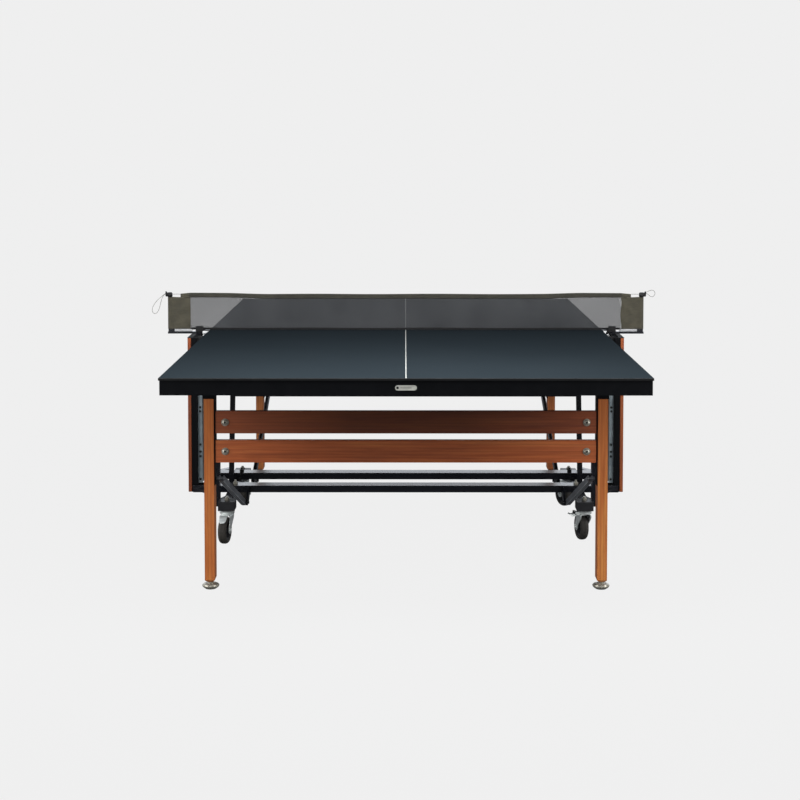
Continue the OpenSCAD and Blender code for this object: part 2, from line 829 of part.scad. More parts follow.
caster_fork(true, true, true);  // caster_fork_far_left
caster_fork(true, false, false);  // caster_fork_far_right
caster_wheel(false, true);  // caster_wheel_near_left
caster_wheel(false, false);  // caster_wheel_near_right
caster_wheel(true, true);  // caster_wheel_far_left
caster_wheel(true, false);  // caster_wheel_far_right
brake_pedal(false, false);  // brake_pedal_near_right
brake_pedal(true, true);  // brake_pedal_far_left
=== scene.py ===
"""Looks of the folding table-tennis table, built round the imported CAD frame."""

import json
import math
import random

import bmesh
import bpy
from mathutils import Matrix, Vector

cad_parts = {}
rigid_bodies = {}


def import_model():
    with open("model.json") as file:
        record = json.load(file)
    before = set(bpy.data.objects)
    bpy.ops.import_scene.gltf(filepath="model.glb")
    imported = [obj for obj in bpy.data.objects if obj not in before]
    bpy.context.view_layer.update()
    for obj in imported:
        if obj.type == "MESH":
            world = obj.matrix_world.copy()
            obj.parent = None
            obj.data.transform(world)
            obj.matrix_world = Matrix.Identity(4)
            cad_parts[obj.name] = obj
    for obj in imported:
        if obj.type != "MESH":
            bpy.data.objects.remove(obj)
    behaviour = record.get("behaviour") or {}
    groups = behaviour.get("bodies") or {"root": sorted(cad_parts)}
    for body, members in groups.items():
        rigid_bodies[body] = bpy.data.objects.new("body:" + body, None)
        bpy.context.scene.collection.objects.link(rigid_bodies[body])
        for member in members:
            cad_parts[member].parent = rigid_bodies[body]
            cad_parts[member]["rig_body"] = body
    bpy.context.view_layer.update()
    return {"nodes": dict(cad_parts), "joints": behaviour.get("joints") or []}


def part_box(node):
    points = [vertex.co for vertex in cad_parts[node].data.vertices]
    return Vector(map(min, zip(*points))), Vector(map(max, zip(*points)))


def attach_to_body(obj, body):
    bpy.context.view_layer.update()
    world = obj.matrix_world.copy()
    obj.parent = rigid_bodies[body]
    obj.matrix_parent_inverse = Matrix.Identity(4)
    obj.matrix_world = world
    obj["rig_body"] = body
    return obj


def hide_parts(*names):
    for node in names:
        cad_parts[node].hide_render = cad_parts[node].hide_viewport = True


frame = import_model()

MM = 0.001
SIDES = {"left": -1, "right": 1}
HALVES = {"near": -1, "far": 1}
BODY_OF = {n: o["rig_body"] for n, o in frame["nodes"].items()}
JOINT = {j["name"]: j for j in frame["joints"]}
random.seed(7)


def linked(name, data):
    """A new object in the scene, showing the data."""
    obj = bpy.data.objects.new(name, data)
    bpy.context.scene.collection.objects.link(obj)
    return obj


def unit(value):
    """The value kept between 0 and 1."""
    return max(0.0, min(1.0, value))


# ---------------- camera

camera_data = bpy.data.cameras.new("camera")
camera = linked("camera", camera_data)
camera_data.sensor_width = 36
camera_data.lens = 75.5
camera_data.shift_y = -0.19
camera_data.clip_end = 200
camera.location = (-0.005, -6.49, 1.465)
camera.rotation_euler = (math.radians(90 - 3.4), 0, math.radians(0.15))
bpy.context.scene.camera = camera
bpy.context.scene.view_settings.view_transform = "Standard"

# ---------------- materials


class Nodes:
    """Shorthand for building a node tree."""

    def __init__(self, tree):
        self.tree = tree

    def add(self, kind, inputs=None, **settings):
        node = self.tree.nodes.new(kind)
        for key, value in settings.items():
            setattr(node, key, value)
        for key, value in (inputs or {}).items():
            self.put(node.inputs[key], value)
        return node

    def put(self, socket, value):
        if isinstance(value, bpy.types.NodeSocket):
            self.tree.links.new(value, socket)
        else:
            socket.default_value = value

    def ramp(self, value, *stops):
        node = self.add("ShaderNodeValToRGB", {"Fac": value})
        elements = node.color_ramp.elements
        while len(elements) < len(stops):
            elements.new(0.5)
        for element, (at, colour) in zip(elements, stops):
            element.position = at
            element.color = colour
        return node.outputs["Color"]

    def math(self, operation, a, b=0.0, c=0.5):
        return self.add("ShaderNodeMath", {0: a, 1: b, 2: c}, operation=operation).outputs[0]


class Tree(Nodes):
    """The nodes of one material."""

    def __init__(self, name):
        self.material = bpy.data.materials.new(name)
        self.material.use_nodes = True
        super().__init__(self.material.node_tree)
        self.shader = self.tree.nodes["Principled BSDF"]
        self.place = self.add("ShaderNodeTexCoord").outputs["Object"]

    def set(self, **values):
        for key, value in values.items():
            self.put(self.shader.inputs[key.replace("_", " ")], value)
        return self

    def drawn(self, axis, share):
        """Object coordinates drawn out along one axis, for noise that runs along it."""
        scale = {"x": (share, 1, 1), "z": (1, 1, share), "all": (1, 1, 1)}[axis]
        node = self.add("ShaderNodeMapping", {"Vector": self.place, "Scale": scale})
        return node.outputs["Vector"]

    def noise(self, scale, detail=3.0, rough=0.5, at=None, distort=0.0):
        inputs = {"Vector": at or self.place, "Scale": scale, "Detail": detail,
                  "Roughness": rough, "Distortion": distort}
        return self.add("ShaderNodeTexNoise", inputs).outputs["Fac"]

    def wave(self, direction, at=None, **inputs):
        """Parallel ridges. An underscore in an input's name stands for a space."""
        inputs = {key.replace("_", " "): value for key, value in inputs.items()}
        node = self.add("ShaderNodeTexWave", {"Vector": at or self.place, **inputs},
                        wave_type="BANDS", bands_direction=direction)
        return node.outputs["Fac"]

    def span(self, value, low, high, from_low=0.3, from_high=0.7):
        inputs = {"Value": value, "From Min": from_low, "From Max": from_high,
                  "To Min": low, "To Max": high}
        return self.add("ShaderNodeMapRange", inputs).outputs["Result"]

    def blend(self, a, b, share=0.6):
        """The sum of two values, the first weighted by share and the second by the rest."""
        rest = self.math("MULTIPLY", b, 1 - share)
        return self.math("ADD", self.math("MULTIPLY", a, share), rest)

    def mix(self, factor, a, b, blend="MIX"):
        node = self.add("ShaderNodeMix", data_type="RGBA", blend_type=blend)
        self.put(node.inputs[0], factor)
        self.put(node.inputs[6], a)
        self.put(node.inputs[7], b)
        return node.outputs[2]

    def bump(self, height, distance, strength=1.0):
        node = self.add(
            "ShaderNodeBump", {"Height": height, "Distance": distance, "Strength": strength}
        )
        self.put(self.shader.inputs["Normal"], node.outputs["Normal"])
        return self


def rgb(code):
    """A hex colour as linear numbers."""
    out = []
    for i in (0, 2, 4):
        c = int(code[i : i + 2], 16) / 255
        out.append(c / 12.92 if c <= 0.04045 else ((c + 0.055) / 1.055) ** 2.4)
    return (*out, 1)


def coated(name, dark, light, rough, grain=900, depth=0.00006, spec=0.5, vary=1.0):
    """Painted or moulded surface: fine dimples, slight tone and gloss changes."""
    t = Tree(name)
    wide = t.noise(6, 4)
    fine = t.noise(grain, 2)
    t.set(
        Base_Color=t.ramp(wide, (0.3, rgb(dark)), (0.7, rgb(light))),
        Roughness=t.span(t.noise(35, 5), rough - 0.05 * vary, rough + 0.07 * vary),
        Specular_IOR_Level=spec,
    )
    return t.bump(fine, depth).material if depth else t.material


def metal(name, dark, light, rough, scratch, along, metallic):
    """Plated or brushed metal with directional scratches and blotchy plating."""
    t = Tree(name)
    lines = t.noise(scratch, 3, 0.6, t.drawn(along, 0.04))
    blotch = t.noise(45, 5, 0.6)
    t.set(
        Base_Color=t.ramp(blotch, (0.25, rgb(dark)), (0.75, rgb(light))),
        Metallic=metallic,
        Roughness=t.span(t.blend(lines, blotch), rough - 0.08, rough + 0.12),
    )
    return t.bump(lines, 0.00002).material


def wood(name, along, tones, mid_shade=1.0):
    """Oiled hardwood: long grain figure, pores and growth streaks along one axis.

    Tones are dark, middle, light, streak and pore. The last argument is painted shade: the share of
    colour left at mid-length, where the table top shades the slats, with full colour towards the
    ends.
    """
    t = Tree(name)
    place = t.drawn(along, 0.055)
    figure = t.noise(26, 6, 0.62, place, 0.9)
    streak = t.noise(120, 4, 0.6, place, 0.3)
    pore = t.noise(1500, 2, 0.5, t.drawn(along, 0.012))
    board = t.noise(3.2, 2, 0.5, place)
    lines = t.wave({"x": "Z", "z": "X"}[along], place, Scale=30.0, Distortion=7.0, Detail=3.0,
                   Detail_Scale=0.5, Detail_Roughness=0.6)
    colour = t.ramp(figure, (0.34, rgb(tones[0])), (0.5, rgb(tones[1])), (0.66, rgb(tones[2])))
    colour = t.mix(t.span(lines, 0.0, 0.38, 0.62, 0.98), colour, rgb(tones[3]))
    colour = t.mix(t.span(streak, 0.0, 0.4, 0.45, 0.75), colour, rgb(tones[3]))
    colour = t.mix(t.span(board, 0.0, 0.35, 0.35, 0.7), colour, rgb(tones[1]))
    # painted shade: darker at mid-length, full colour towards the ends, for the table top's shadow
    # across the slats
    if mid_shade < 1.0:
        reach = t.math("ABSOLUTE", t.add("ShaderNodeSeparateXYZ", {0: t.place}).outputs["X"])
        tone = t.span(t.math("ADD", reach, t.math("MULTIPLY", board, 0.1)), mid_shade, 1.0, 0.25, 0.66)
        shade = t.add("ShaderNodeCombineColor", {0: tone, 1: tone, 2: tone}).outputs[0]
        colour = t.mix(1.0, colour, shade, "MULTIPLY")
    dots = t.span(pore, 0.0, 1.0, 0.62, 0.74)
    colour = t.mix(t.math("MULTIPLY", dots, 0.6), colour, rgb(tones[4]))
    t.set(
        Base_Color=colour,
        Roughness=t.span(streak, 0.36, 0.5),
        Specular_IOR_Level=0.4,
        Coat_Weight=0.12,
        Coat_Roughness=0.25,
    )
    height = t.math("SUBTRACT", t.math("MULTIPLY", streak, 0.5), dots)
    return t.bump(height, 0.00012, 0.6).material


WAVE_TO_PITCH = 0.314  # scale of a wave texture times the distance between its ridges


def woven(name, dark, light, pitch, depth):
    """Cloth: warp and weft ridges over patchy dye, with painted shade in the hollows between the
    ridges.
    """
    t = Tree(name)
    warp, weft = (t.wave(axis, Scale=WAVE_TO_PITCH / pitch, Distortion=0.6, Detail=1.0,
                         Detail_Scale=40.0) for axis in "XZ")
    weave = t.math("MULTIPLY", warp, weft)
    dye = t.noise(22, 5, 0.6)
    slub = t.noise(300, 3, 0.6, t.drawn("x", 0.2))
    colour = t.ramp(t.blend(dye, slub), (0.35, rgb(dark)), (0.65, rgb(light)))
    # painted shade: the hollows between the warp and weft ridges are pulled towards the dark tone
    colour = t.mix(t.span(weave, 0.35, 0.0, 0.0, 0.5), colour, rgb(dark))
    t.set(
        Base_Color=colour,
        Roughness=0.85,
        Specular_IOR_Level=0.25,
        Sheen_Weight=0.25,
        Sheen_Roughness=0.5,
    )
    return t.bump(weave, depth).material


def laminate():
    """High-pressure laminate: very fine dimples and a faint cloudiness."""
    t = Tree("laminate_slate")
    cloud = t.noise(2.2, 4, 0.55)
    speck = t.noise(2600, 2, 0.5)
    base = t.ramp(cloud, (0.3, rgb("1f2529")), (0.7, rgb("21272b")))
    base = t.mix(t.span(speck, 0.0, 0.2, 0.55, 0.8), base, rgb("292f34"))
    gloss = t.span(t.noise(60, 5), 0.5, 0.58)
    t.set(Base_Color=base, Roughness=gloss, Specular_IOR_Level=0.0)
    return t.bump(t.noise(1400, 2), 0.00005, 0.8).material


LAMINATE = laminate()
LINE = coated("line_white", "8f908d", "a3a4a0", 0.6, 1500, 0.00002, 0.2)
APRON = coated("steel_black", "07080a", "0b0c0f", 0.5, spec=0.08)
CHASSIS = coated("steel_black_satin", "111217", "171920", 0.25, 1200, 0, 0.55, 0.15)
BLOCK = coated("steel_black_block", "1b1b1d", "27272a", 0.4, 1000, 0.00005, 0.4)
DARK = coated("nut_black", "08090a", "141414", 0.45, spec=0.3)
PLASTIC = coated("plastic_black", "0c0c0d", "171718", 0.42, 1600, 0.00004, 0.3)
LINK = coated("steel_grey", "505257", "686a6f", 0.4, 700, 0.00005, 0.6)
# lighter grey for the link lips, a painted highlight along the links' edges
LINK_EDGE_HIGHLIGHT = coated("steel_grey_painted_highlight", "a4a6ac", "bec0c6", 0.3, 700, 0, 0.6)
ZINC = metal("zinc_plate", "c8cecc", "eef2f0", 0.34, 500, "all", 0.5)
STRIP = metal("zinc_strip", "7d8a90", "a3afb4", 0.36, 700, "z", 0.55)
STEEL = metal("steel_brushed", "8d887c", "b9b5a8", 0.3, 800, "all", 0.6)
BADGE = metal("badge_brushed", "aeafa7", "cfd0c8", 0.32, 1500, "x", 0.4)
BATTEN = metal("batten_grey", "a3a4a6", "b7b8ba", 0.35, 900, "x", 0.3)
# near-white steel of the clamp levers, a painted highlight for their chrome
LEVER_GLINT = metal("steel_painted_glint", "e4e6e8", "f6f7f8", 0.3, 400, "all", 0.1)
WOOD_Z = wood("hardwood_upright", "z", ("924d21", "b56834", "c98545", "803f19", "552a10"))
# slat woods: the lower slat keeps 0.7 of its colour at mid-length as painted shade; the upper
# slat's darker board keeps 0.43
WOOD_X = wood("hardwood_crosswise", "x", ("87411f", "ad5b32", "bf723c", "6f361a", "4a2310"), 0.7)
WOOD_DARK = wood("hardwood_dark_with_painted_shade", "x", ("6a311b", "88472a", "9a5730", "542714", "35180c"), 0.43)
WOOD_SIDE = wood("hardwood_side", "z", ("743519", "964920", "a85b2b", "5f2b12", "3f1c0b"))
RUBBER = coated("rubber_black", "2a2928", "3f3c38", 0.75, 700, 0.00012, 0.25)
HUB = coated("hub_grey", "1f2022", "2c2d30", 0.5, 900, spec=0.3)
CANVAS = woven("canvas_olive", "3c3a31", "514d3f", 0.0012, 0.0002)
BIND = woven("canvas_binding", "2e2d27", "403e35", 0.0012, 0.0002)
TAPE = woven("tape_black", "0e0e10", "1a1a1c", 0.0009, 0.0001)
THREAD = woven("thread_dark", "33322a", "45433a", 0.0006, 0.00005)
YARN = coated("yarn_dark", "3e3f41", "4b4c4e", 0.75, 2500, 0.00003, 0.15)


def cord_material():
    """Braided cord: fine crossing ridges round a pale core, darker in the grooves between them as
    painted shade.
    """
    t = Tree("cord_pale")
    wave = t.wave("DIAGONAL", Scale=260.0, Distortion=1.5)
    # painted shade: the colour follows the ridges' relief, dark in the grooves and pale on the
    # crests
    t.set(Base_Color=t.mix(wave, rgb("5f5e59"), rgb("8c8b85")), Roughness=0.7)
    return t.bump(wave, 0.0001).material


CORD = cord_material()

# ---------------- pieces


WELD = 1e-5  # CAD vertices closer than this are one
FLAT_DEG = 1.5  # CAD faces that meet flatter than this are one


def attach(obj, body, replaces=()):
    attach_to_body(obj, body)
    if replaces:
        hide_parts(*replaces)
    return obj


def finish_mesh(mesh, sharp=38):
    if "custom_normal" in mesh.attributes:
        mesh.attributes.remove(mesh.attributes["custom_normal"])
    mesh.polygons.foreach_set("use_smooth", [True] * len(mesh.polygons))
    mesh.set_sharp_from_angle(angle=math.radians(sharp))
    mesh.update()


def bevel(obj, width, segments=2, angle=40):
    m = obj.modifiers.new("edge", "BEVEL")
    m.width = width
    m.segments = segments
    m.limit_method = "ANGLE"
    m.angle_limit = math.radians(angle)
    m.use_clamp_overlap = True
    m.harden_normals = True
    m.miter_outer = "MITER_ARC"
    return obj


def thicken(obj, thickness):
    """Gives a sheet its thickness, half on each side."""
    m = obj.modifiers.new("thickness", "SOLIDIFY")
    m.thickness = thickness
    m.offset = 0
    return obj


def refine(node, material, edge, segments=2):
    """A CAD node's shape with clean faces and rounded edges."""
    source = frame["nodes"][node]
    mesh = bpy.data.meshes.new(node + "_piece")
    bm = bmesh.new()
    bm.from_mesh(source.data)
    bmesh.ops.remove_doubles(bm, verts=bm.verts, dist=WELD)
    flat = math.radians(FLAT_DEG)
    bmesh.ops.dissolve_limit(bm, angle_limit=flat, verts=bm.verts, edges=bm.edges)
    bm.to_mesh(mesh)
    bm.free()
    obj = linked(mesh.name, mesh)
    mesh.materials.clear()
    mesh.materials.append(material)
    for poly in mesh.polygons:
        poly.material_index = 0
    finish_mesh(mesh)
    if edge:
        bevel(obj, edge, segments)
    return attach(obj, BODY_OF[node], [node])


def axes_at(origin, along):
    """Matrix whose Z axis runs along a direction from origin."""
    z = Vector(along).normalized()
    r = Vector((0, 0, 1))
    if abs(z.dot(r)) > 0.99:
        r = Vector((1, 0, 0))
    x = r.cross(z).normalized()
    y = z.cross(x)
    return Matrix((
        (x.x, y.x, z.x, origin[0]),
        (x.y, y.y, z.y, origin[1]),
        (x.z, y.z, z.z, origin[2]),
        (0, 0, 0, 1),
    ))


def ring(radius, count):
    """Points evenly round a circle, starting on the X axis."""
    angles = [2 * math.pi * k / count for k in range(count)]
    return [(radius * math.cos(a), radius * math.sin(a)) for a in angles]


# faces of a bar given as four corners of one end, then the same four of the other
BAR_FACES = ((0, 1, 2, 3), (4, 7, 6, 5), (0, 4, 5, 1), (1, 5, 6, 2), (2, 6, 7, 3), (3, 7, 4, 0))


class Shape:
    """Collects simple solids into one mesh. Lengths are in metres."""

    def __init__(self):
        self.verts, self.faces, self.mats = [], [], []

    def add(self, verts, faces, at=None, mat=0):
        base = len(self.verts)
        at = at or Matrix.Identity(4)
        flip = at.to_3x3().determinant() < 0
        self.verts += [at @ Vector(v) for v in verts]
        for f in faces:
            f = tuple(reversed(f)) if flip else tuple(f)
            self.faces.append(tuple(base + i for i in f))
            self.mats.append(mat)
        return self

    def box(self, lo, hi, at=None, mat=0):
        v = [(x, y, z) for z in (lo[2], hi[2]) for y in (lo[1], hi[1]) for x in (lo[0], hi[0])]
        f = [(0, 2, 3, 1), (4, 5, 7, 6), (0, 1, 5, 4), (2, 6, 7, 3), (0, 4, 6, 2), (1, 3, 7, 5)]
        return self.add(v, f, at, mat)

    def prism(self, outline, low, high, at=None, mat=0):
        """An outline in XY, anticlockwise, extruded along Z."""
        n = len(outline)
        v = [(x, y, low) for x, y in outline] + [(x, y, high) for x, y in outline]
        f = [tuple(range(n))[::-1], tuple(range(n, 2 * n))]
        f += [(i, (i + 1) % n, n + (i + 1) % n, n + i) for i in range(n)]
        return self.add(v, f, at, mat)

    def lathe(self, profile, at=None, mat=0, steps=40, closed=False):
        """A profile of (radius, height) turned about Z. Ends at radius 0 close it."""
        v, f, rows = [], [], []
        for r, h in profile:
            if r < 1e-9:
                rows.append([len(v)])
                v.append((0, 0, h))
            else:
                rows.append(list(range(len(v), len(v) + steps)))
                v += [(x, y, h) for x, y in ring(r, steps)]
        pairs = list(zip(rows, rows[1:])) + ([(rows[-1], rows[0])] if closed else [])
        for a, b in pairs:
            for k in range(steps):
                j = (k + 1) % steps
                if len(a) == 1:
                    f.append((a[0], b[j], b[k]))
                elif len(b) == 1:
                    f.append((a[k], a[j], b[0]))
                else:
                    f.append((a[k], a[j], b[j], b[k]))
        return self.add(v, f, at, mat)

    def hexagon(self, across, low, high, at=None, mat=0):
        r = across / math.sqrt(3)
        c = across * 0.06
        rows = [(r - c, low), (r, low + c), (r, high - c), (r - c, high)]
        v = [(x, y, h) for q, h in rows for x, y in ring(q, 6)]
        f = [tuple(range(6))[::-1], tuple(range(18, 24))]
        f += [(6 * i + k, 6 * i + (k + 1) % 6, 6 * i + 6 + (k + 1) % 6, 6 * i + 6 + k)
              for i in range(3) for k in range(6)]
        return self.add(v, f, at, mat)

    def tube(self, path, radius, sides):
        """A round bar along a path, closed at its ends."""
        path = [Vector(p) for p in path]
        v, f = [], []
        ref = Vector((0, 1, 0))
        for i, p in enumerate(path):
            along = (path[min(i + 1, len(path) - 1)] - path[max(i - 1, 0)]).normalized()
            if abs(along.dot(ref)) > 0.95:
                ref = Vector((0, 0, 1))
            u = along.cross(ref).normalized()
            w = along.cross(u)
            for k in range(sides):
                a = 2 * math.pi * k / sides
                v.append(p + radius * (math.cos(a) * u + math.sin(a) * w))
        n = len(path)
        f.append(tuple(range(sides)))
        f.append(tuple((n - 1) * sides + k for k in reversed(range(sides))))
        for i in range(n - 1):
            for k in range(sides):
                j = (k + 1) % sides
                f.append((i * sides + k, (i + 1) * sides + k, (i + 1) * sides + j, i * sides + j))
        return self.add(v, f)

    def strip(self, rows, at=None):
        """A sheet through rows of points."""
        n = len(rows[0])
        v = [p for row in rows for p in row]
        f = [(i * n + k, i * n + k + 1, (i + 1) * n + k + 1, (i + 1) * n + k)
             for i in range(len(rows) - 1) for k in range(n - 1)]
        return self.add(v, f, at)

    def piece(self, name, body, slot, materials, replaces=(), edge=0, segments=2, sharp=38):
        mesh = bpy.data.meshes.new(name)
        mesh.from_pydata([tuple(v) for v in self.verts], [], self.faces)
        for m in materials:
            mesh.materials.append(m)
        mesh.polygons.foreach_set("material_index", self.mats)
        bm = bmesh.new()
        bm.from_mesh(mesh)
        bmesh.ops.recalc_face_normals(bm, faces=bm.faces)
        bm.to_mesh(mesh)
        bm.free()
        obj = linked(name, mesh)
        finish_mesh(mesh, sharp)
        if edge:
            bevel(obj, edge, segments)
        return attach(obj, body, replaces)


def arc(cx, cy, r, a0, a1, n):
    """Points of an arc, in degrees."""
    angles = [math.radians(a0 + (a1 - a0) * i / n) for i in range(n + 1)]
    return [(cx + r * math.cos(a), cy + r * math.sin(a)) for a in angles]


# ---------------- cords

CORD_D = 0.0018
# both loops in millimetres, from the cleat round and back to it
ROUTES = {
    "left": [
        (-929, 0, 903), (-934, -1, 901), (-941, -2, 896), (-950, -3, 889), (-960, -4, 880),
        (-970, -5, 869), (-978, -5, 857), (-983, -4, 845), (-983, -3, 833), (-978, -1, 825),
        (-970, 1, 825), (-963, 3, 832), (-958, 4, 843), (-954, 4, 857), (-950, 4, 872),
        (-946, 4, 885), (-940, 4, 895), (-934, 3, 900), (-929, 3, 901),
    ],
    "right": [
        (929, 0, 906), (933, -1, 908), (939, -2, 911), (946, -3, 914), (953, -3, 916),
        (960, -3, 915), (965, -2, 910), (967, -1, 903), (965, 0, 896), (960, 1, 891),
        (954, 2, 890), (948, 3, 893), (942, 3, 898), (935, 3, 902), (929, 3, 903),
    ],
}
for side, route in ROUTES.items():
    points = [Vector(p) * MM for p in route]
    curve = bpy.data.curves.new("net_cord_loop_" + side, "CURVE")
    curve.dimensions = "3D"
    curve.bevel_depth = CORD_D / 2
    curve.bevel_resolution = 3
    curve.resolution_u = 8
    curve.use_fill_caps = True
    spline = curve.splines.new("BEZIER")
    spline.bezier_points.add(len(points) - 1)
    for knot, point in zip(spline.bezier_points, points):
        knot.co = point
        knot.handle_left_type = knot.handle_right_type = "AUTO"
    curve.materials.append(CORD)
    loop = linked(curve.name, curve)
    attach(loop, "chassis", ["net_cord_" + side])

# ---------------- table halves

TOP_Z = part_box("top_near")[1].z
LINE_HALF_W = 0.0016
LINE_NET_END, LINE_FAR_END = 0.0035, 1.3692
for half, s in HALVES.items():
    top = refine("top_" + half, LAMINATE, 0.0012, 3)
    top.data.materials.append(DARK)
    for poly in top.data.polygons:
        poly.material_index = 0 if poly.normal.z > 0.5 else 1
    refine("apron_" + half, APRON, 0.001)
    refine("ribs_" + half, APRON, 0.001, 1)
    refine("hinge_brackets_" + half, APRON, 0.001, 1)
    line = Shape()
    y = sorted((s * LINE_NET_END, s * LINE_FAR_END))
    line.box((-LINE_HALF_W, y[0], TOP_Z - 0.0002), (LINE_HALF_W, y[1], TOP_Z + 0.00012))
    line.piece("centre_line_" + half, half + "_half", "laminate", [LINE])

# badge: brushed plate with a raised rim, a plain bar, a dark dome and a rivet
PLATE_LO, PLATE_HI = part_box("nameplate")
BADGE_H = 0.016
FACE_Z, RIM_Z = -0.0004, 0.0002
plate_y = PLATE_LO.y + 0.0008
mid_z = (PLATE_LO.z + PLATE_HI.z) / 2
half_w = (PLATE_HI.x - PLATE_LO.x) / 2


def stadium(w, h):
    r = h / 2
    return arc(w / 2 - r, 0, r, -90, 90, 12) + arc(-(w / 2 - r), 0, r, 90, 270, 12)


badge = Shape()
to_front = axes_at((0, plate_y, mid_z), (0, -1, 0))
outer, inner = stadium(2 * half_w, BADGE_H), stadium(2 * half_w - 0.003, BADGE_H - 0.003)
badge.prism(outer, -0.0015, FACE_Z, to_front)
n = len(outer)
rim = [(x, y, FACE_Z) for x, y in outer] + [(x, y, RIM_Z) for x, y in outer]
rim += [(x, y, RIM_Z) for x, y in inner] + [(x, y, FACE_Z) for x, y in inner]
faces = [(i + q * n, (i + 1) % n + q * n, (i + 1) % n + (q + 1) * n, i + (q + 1) * n)
         for q in range(3) for i in range(n)]
badge.add(rim, faces, to_front)
badge.prism(stadium(0.034, 0.0014), FACE_Z, -0.0001, to_front, 1)
for x, size, mat in ((-0.026, 1.9, 1), (0.026, 1.0, 0)):
    at = axes_at((x, plate_y, mid_z), (0, -1, 0))
    dome = [(0, FACE_Z), (0.0022, FACE_Z), (0.0021, 0), (0.0012, 0.0005), (0, 0.0007)]
    badge.lathe([(r * size, h) for r, h in dome], at, mat, 24)
badge.piece("badge", "near_half", "badge_metal", [BADGE, DARK], ["nameplate"], 0.0002)

# ---------------- leg frames

LEG_X, LEG_Y = 0.6505, 0.970
# turned profiles of the levelling foot, as radius and height
FOOT_PAD = [(0, 0), (0.0180, 0), (0.0187, 0.0006), (0.0200, 0.0018), (0.0196, 0.0024)]
FOOT_BELL = [
    (0.0196, 0.0014), (0.0212, 0.0022), (0.0243, 0.0044), (0.0266, 0.0068), (0.0280, 0.0092),
    (0.0285, 0.0112), (0.0283, 0.0126), (0.0276, 0.0135), (0.0266, 0.0138), (0.0264, 0.0146),
    (0.0262, 0.0153), (0.0245, 0.0165), (0.0215, 0.0174), (0.0160, 0.0180), (0.0090, 0.0182),
]
FOOT_COLLAR = [(0.0115, 0.0180), (0.0115, 0.0188), (0.0105, 0.0192), (0.005, 0.0192)]
THREAD_LOW, THREAD_PITCH = 0.0232, 0.0006
SLAT_LO, SLAT_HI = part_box("slats_near")
SLAT_H = 0.074
SLAT_MIDS = (SLAT_LO.z + SLAT_H / 2, SLAT_HI.z - SLAT_H / 2)
WASHER_R = 0.0125
BOLT_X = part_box("slat_bolts_near")[1].x - WASHER_R


def dome_bolt(shape, at):
    """Washer and domed head with a hexagonal socket. Z points outwards from the seat."""
    washer, w = WASHER_R, 0.0015
    head, height = 0.0095, 0.005
    steel, dark = 0, 1
    shape.lathe([(0.004, 0), (washer - 0.0003, 0), (washer, 0.0003), (washer, w - 0.0004),
                 (washer - 0.0004, w), (head - 0.001, w)], at, steel, 40)
    socket = 0.0035
    dome = [(head, w), (head, w + 0.0008)]
    for k in range(1, 7):
        a = math.radians(15 * k)
        dome.append((socket + (head - socket) * math.cos(a),
                     w + 0.0008 + (height - 0.0008) * math.sin(a)))
    shape.lathe(dome, at, steel, 40)
    top = w + height
    edge, six = ring(socket, 24), ring(0.0034, 6)
    v = [(x, y, top) for x, y in edge + six] + [(x, y, top - 0.003) for x, y in six]
    f = []
    for k in range(24):
        j = (k + 1) % 24
        a, b = 24 + (k // 4) % 6, 24 + (j // 4) % 6
        f.append((k, j, b, a) if a != b else (k, j, a))
    f += [(24 + k, 24 + (k + 1) % 6, 30 + (k + 1) % 6, 30 + k) for k in range(6)]
    shape.add(v, f, at, steel)
    # painted shade: the socket's bottom is dark for the shade inside it
    shape.add(v[30:], [tuple(range(6))], at, dark)


for half, s in HALVES.items():
    refine("legs_" + half, WOOD_Z, 0.003, 4)
    slats = refine("slats_" + half, WOOD_X, 0.0025, 3)
    # the upper slat takes the darker board with the stronger painted shade of the table top across
    # its middle
    slats.data.materials.append(WOOD_DARK)
    for poly in slats.data.polygons:
        poly.material_index = 1 if poly.center.z > (SLAT_LO.z + SLAT_HI.z) / 2 else 0
    refine("leg_brackets_" + half, APRON, 0.0008)
    bolts = Shape()
    for sx in (-1, 1):
        for z in SLAT_MIDS:
            x, y = sx * BOLT_X, s * -SLAT_LO.y
            dome_bolt(bolts, axes_at((x, y, z), (0, s, 0)))
            back = axes_at((x, y, z), (0, -s, 0))
            stem = [(0.0039, -0.001), (0.0039, 0.0345), (0.003, 0.036), (0, 0.036)]
            nut_washer = [(0.004, 0.0261), (0.009, 0.0261), (0.009, 0.0275), (0.004, 0.0275)]
            bolts.lathe(stem, back, 0, 16)
            bolts.lathe(nut_washer, back, 0, 32)
            bolts.hexagon(0.013, 0.0276, 0.0335, back, 0)
    bolts.piece("slat_bolts_" + half + "_piece", half + "_legs", "steel", [STEEL, DARK],
                ["slat_bolts_" + half], 0.0003, 1)
    for side, sx in SIDES.items():
        foot = Shape()
        at = Matrix.Translation((sx * LEG_X, s * LEG_Y, 0))
        foot.lathe(FOOT_PAD, at, 1, 48)
        foot.lathe(FOOT_BELL, at, 0, 64)
        foot.lathe(FOOT_COLLAR, at, 0, 32)
        foot.hexagon(0.0165, 0.0190, 0.0235, at, 0)
        thread = [(0.0050 if k % 2 else 0.0043, THREAD_LOW + THREAD_PITCH * k) for k in range(26)]
        stem = [(0, THREAD_LOW)] + thread + [(0.0043, 0.0385), (0.0043, 0.056), (0, 0.056)]
        foot.lathe(stem, at, 0, 24)
        key = half + "_" + side
        foot.piece("foot_" + key + "_piece", key + "_foot", "steel", [STEEL, RUBBER],
                   ["foot_" + key], sharp=30)

# ---------------- chassis

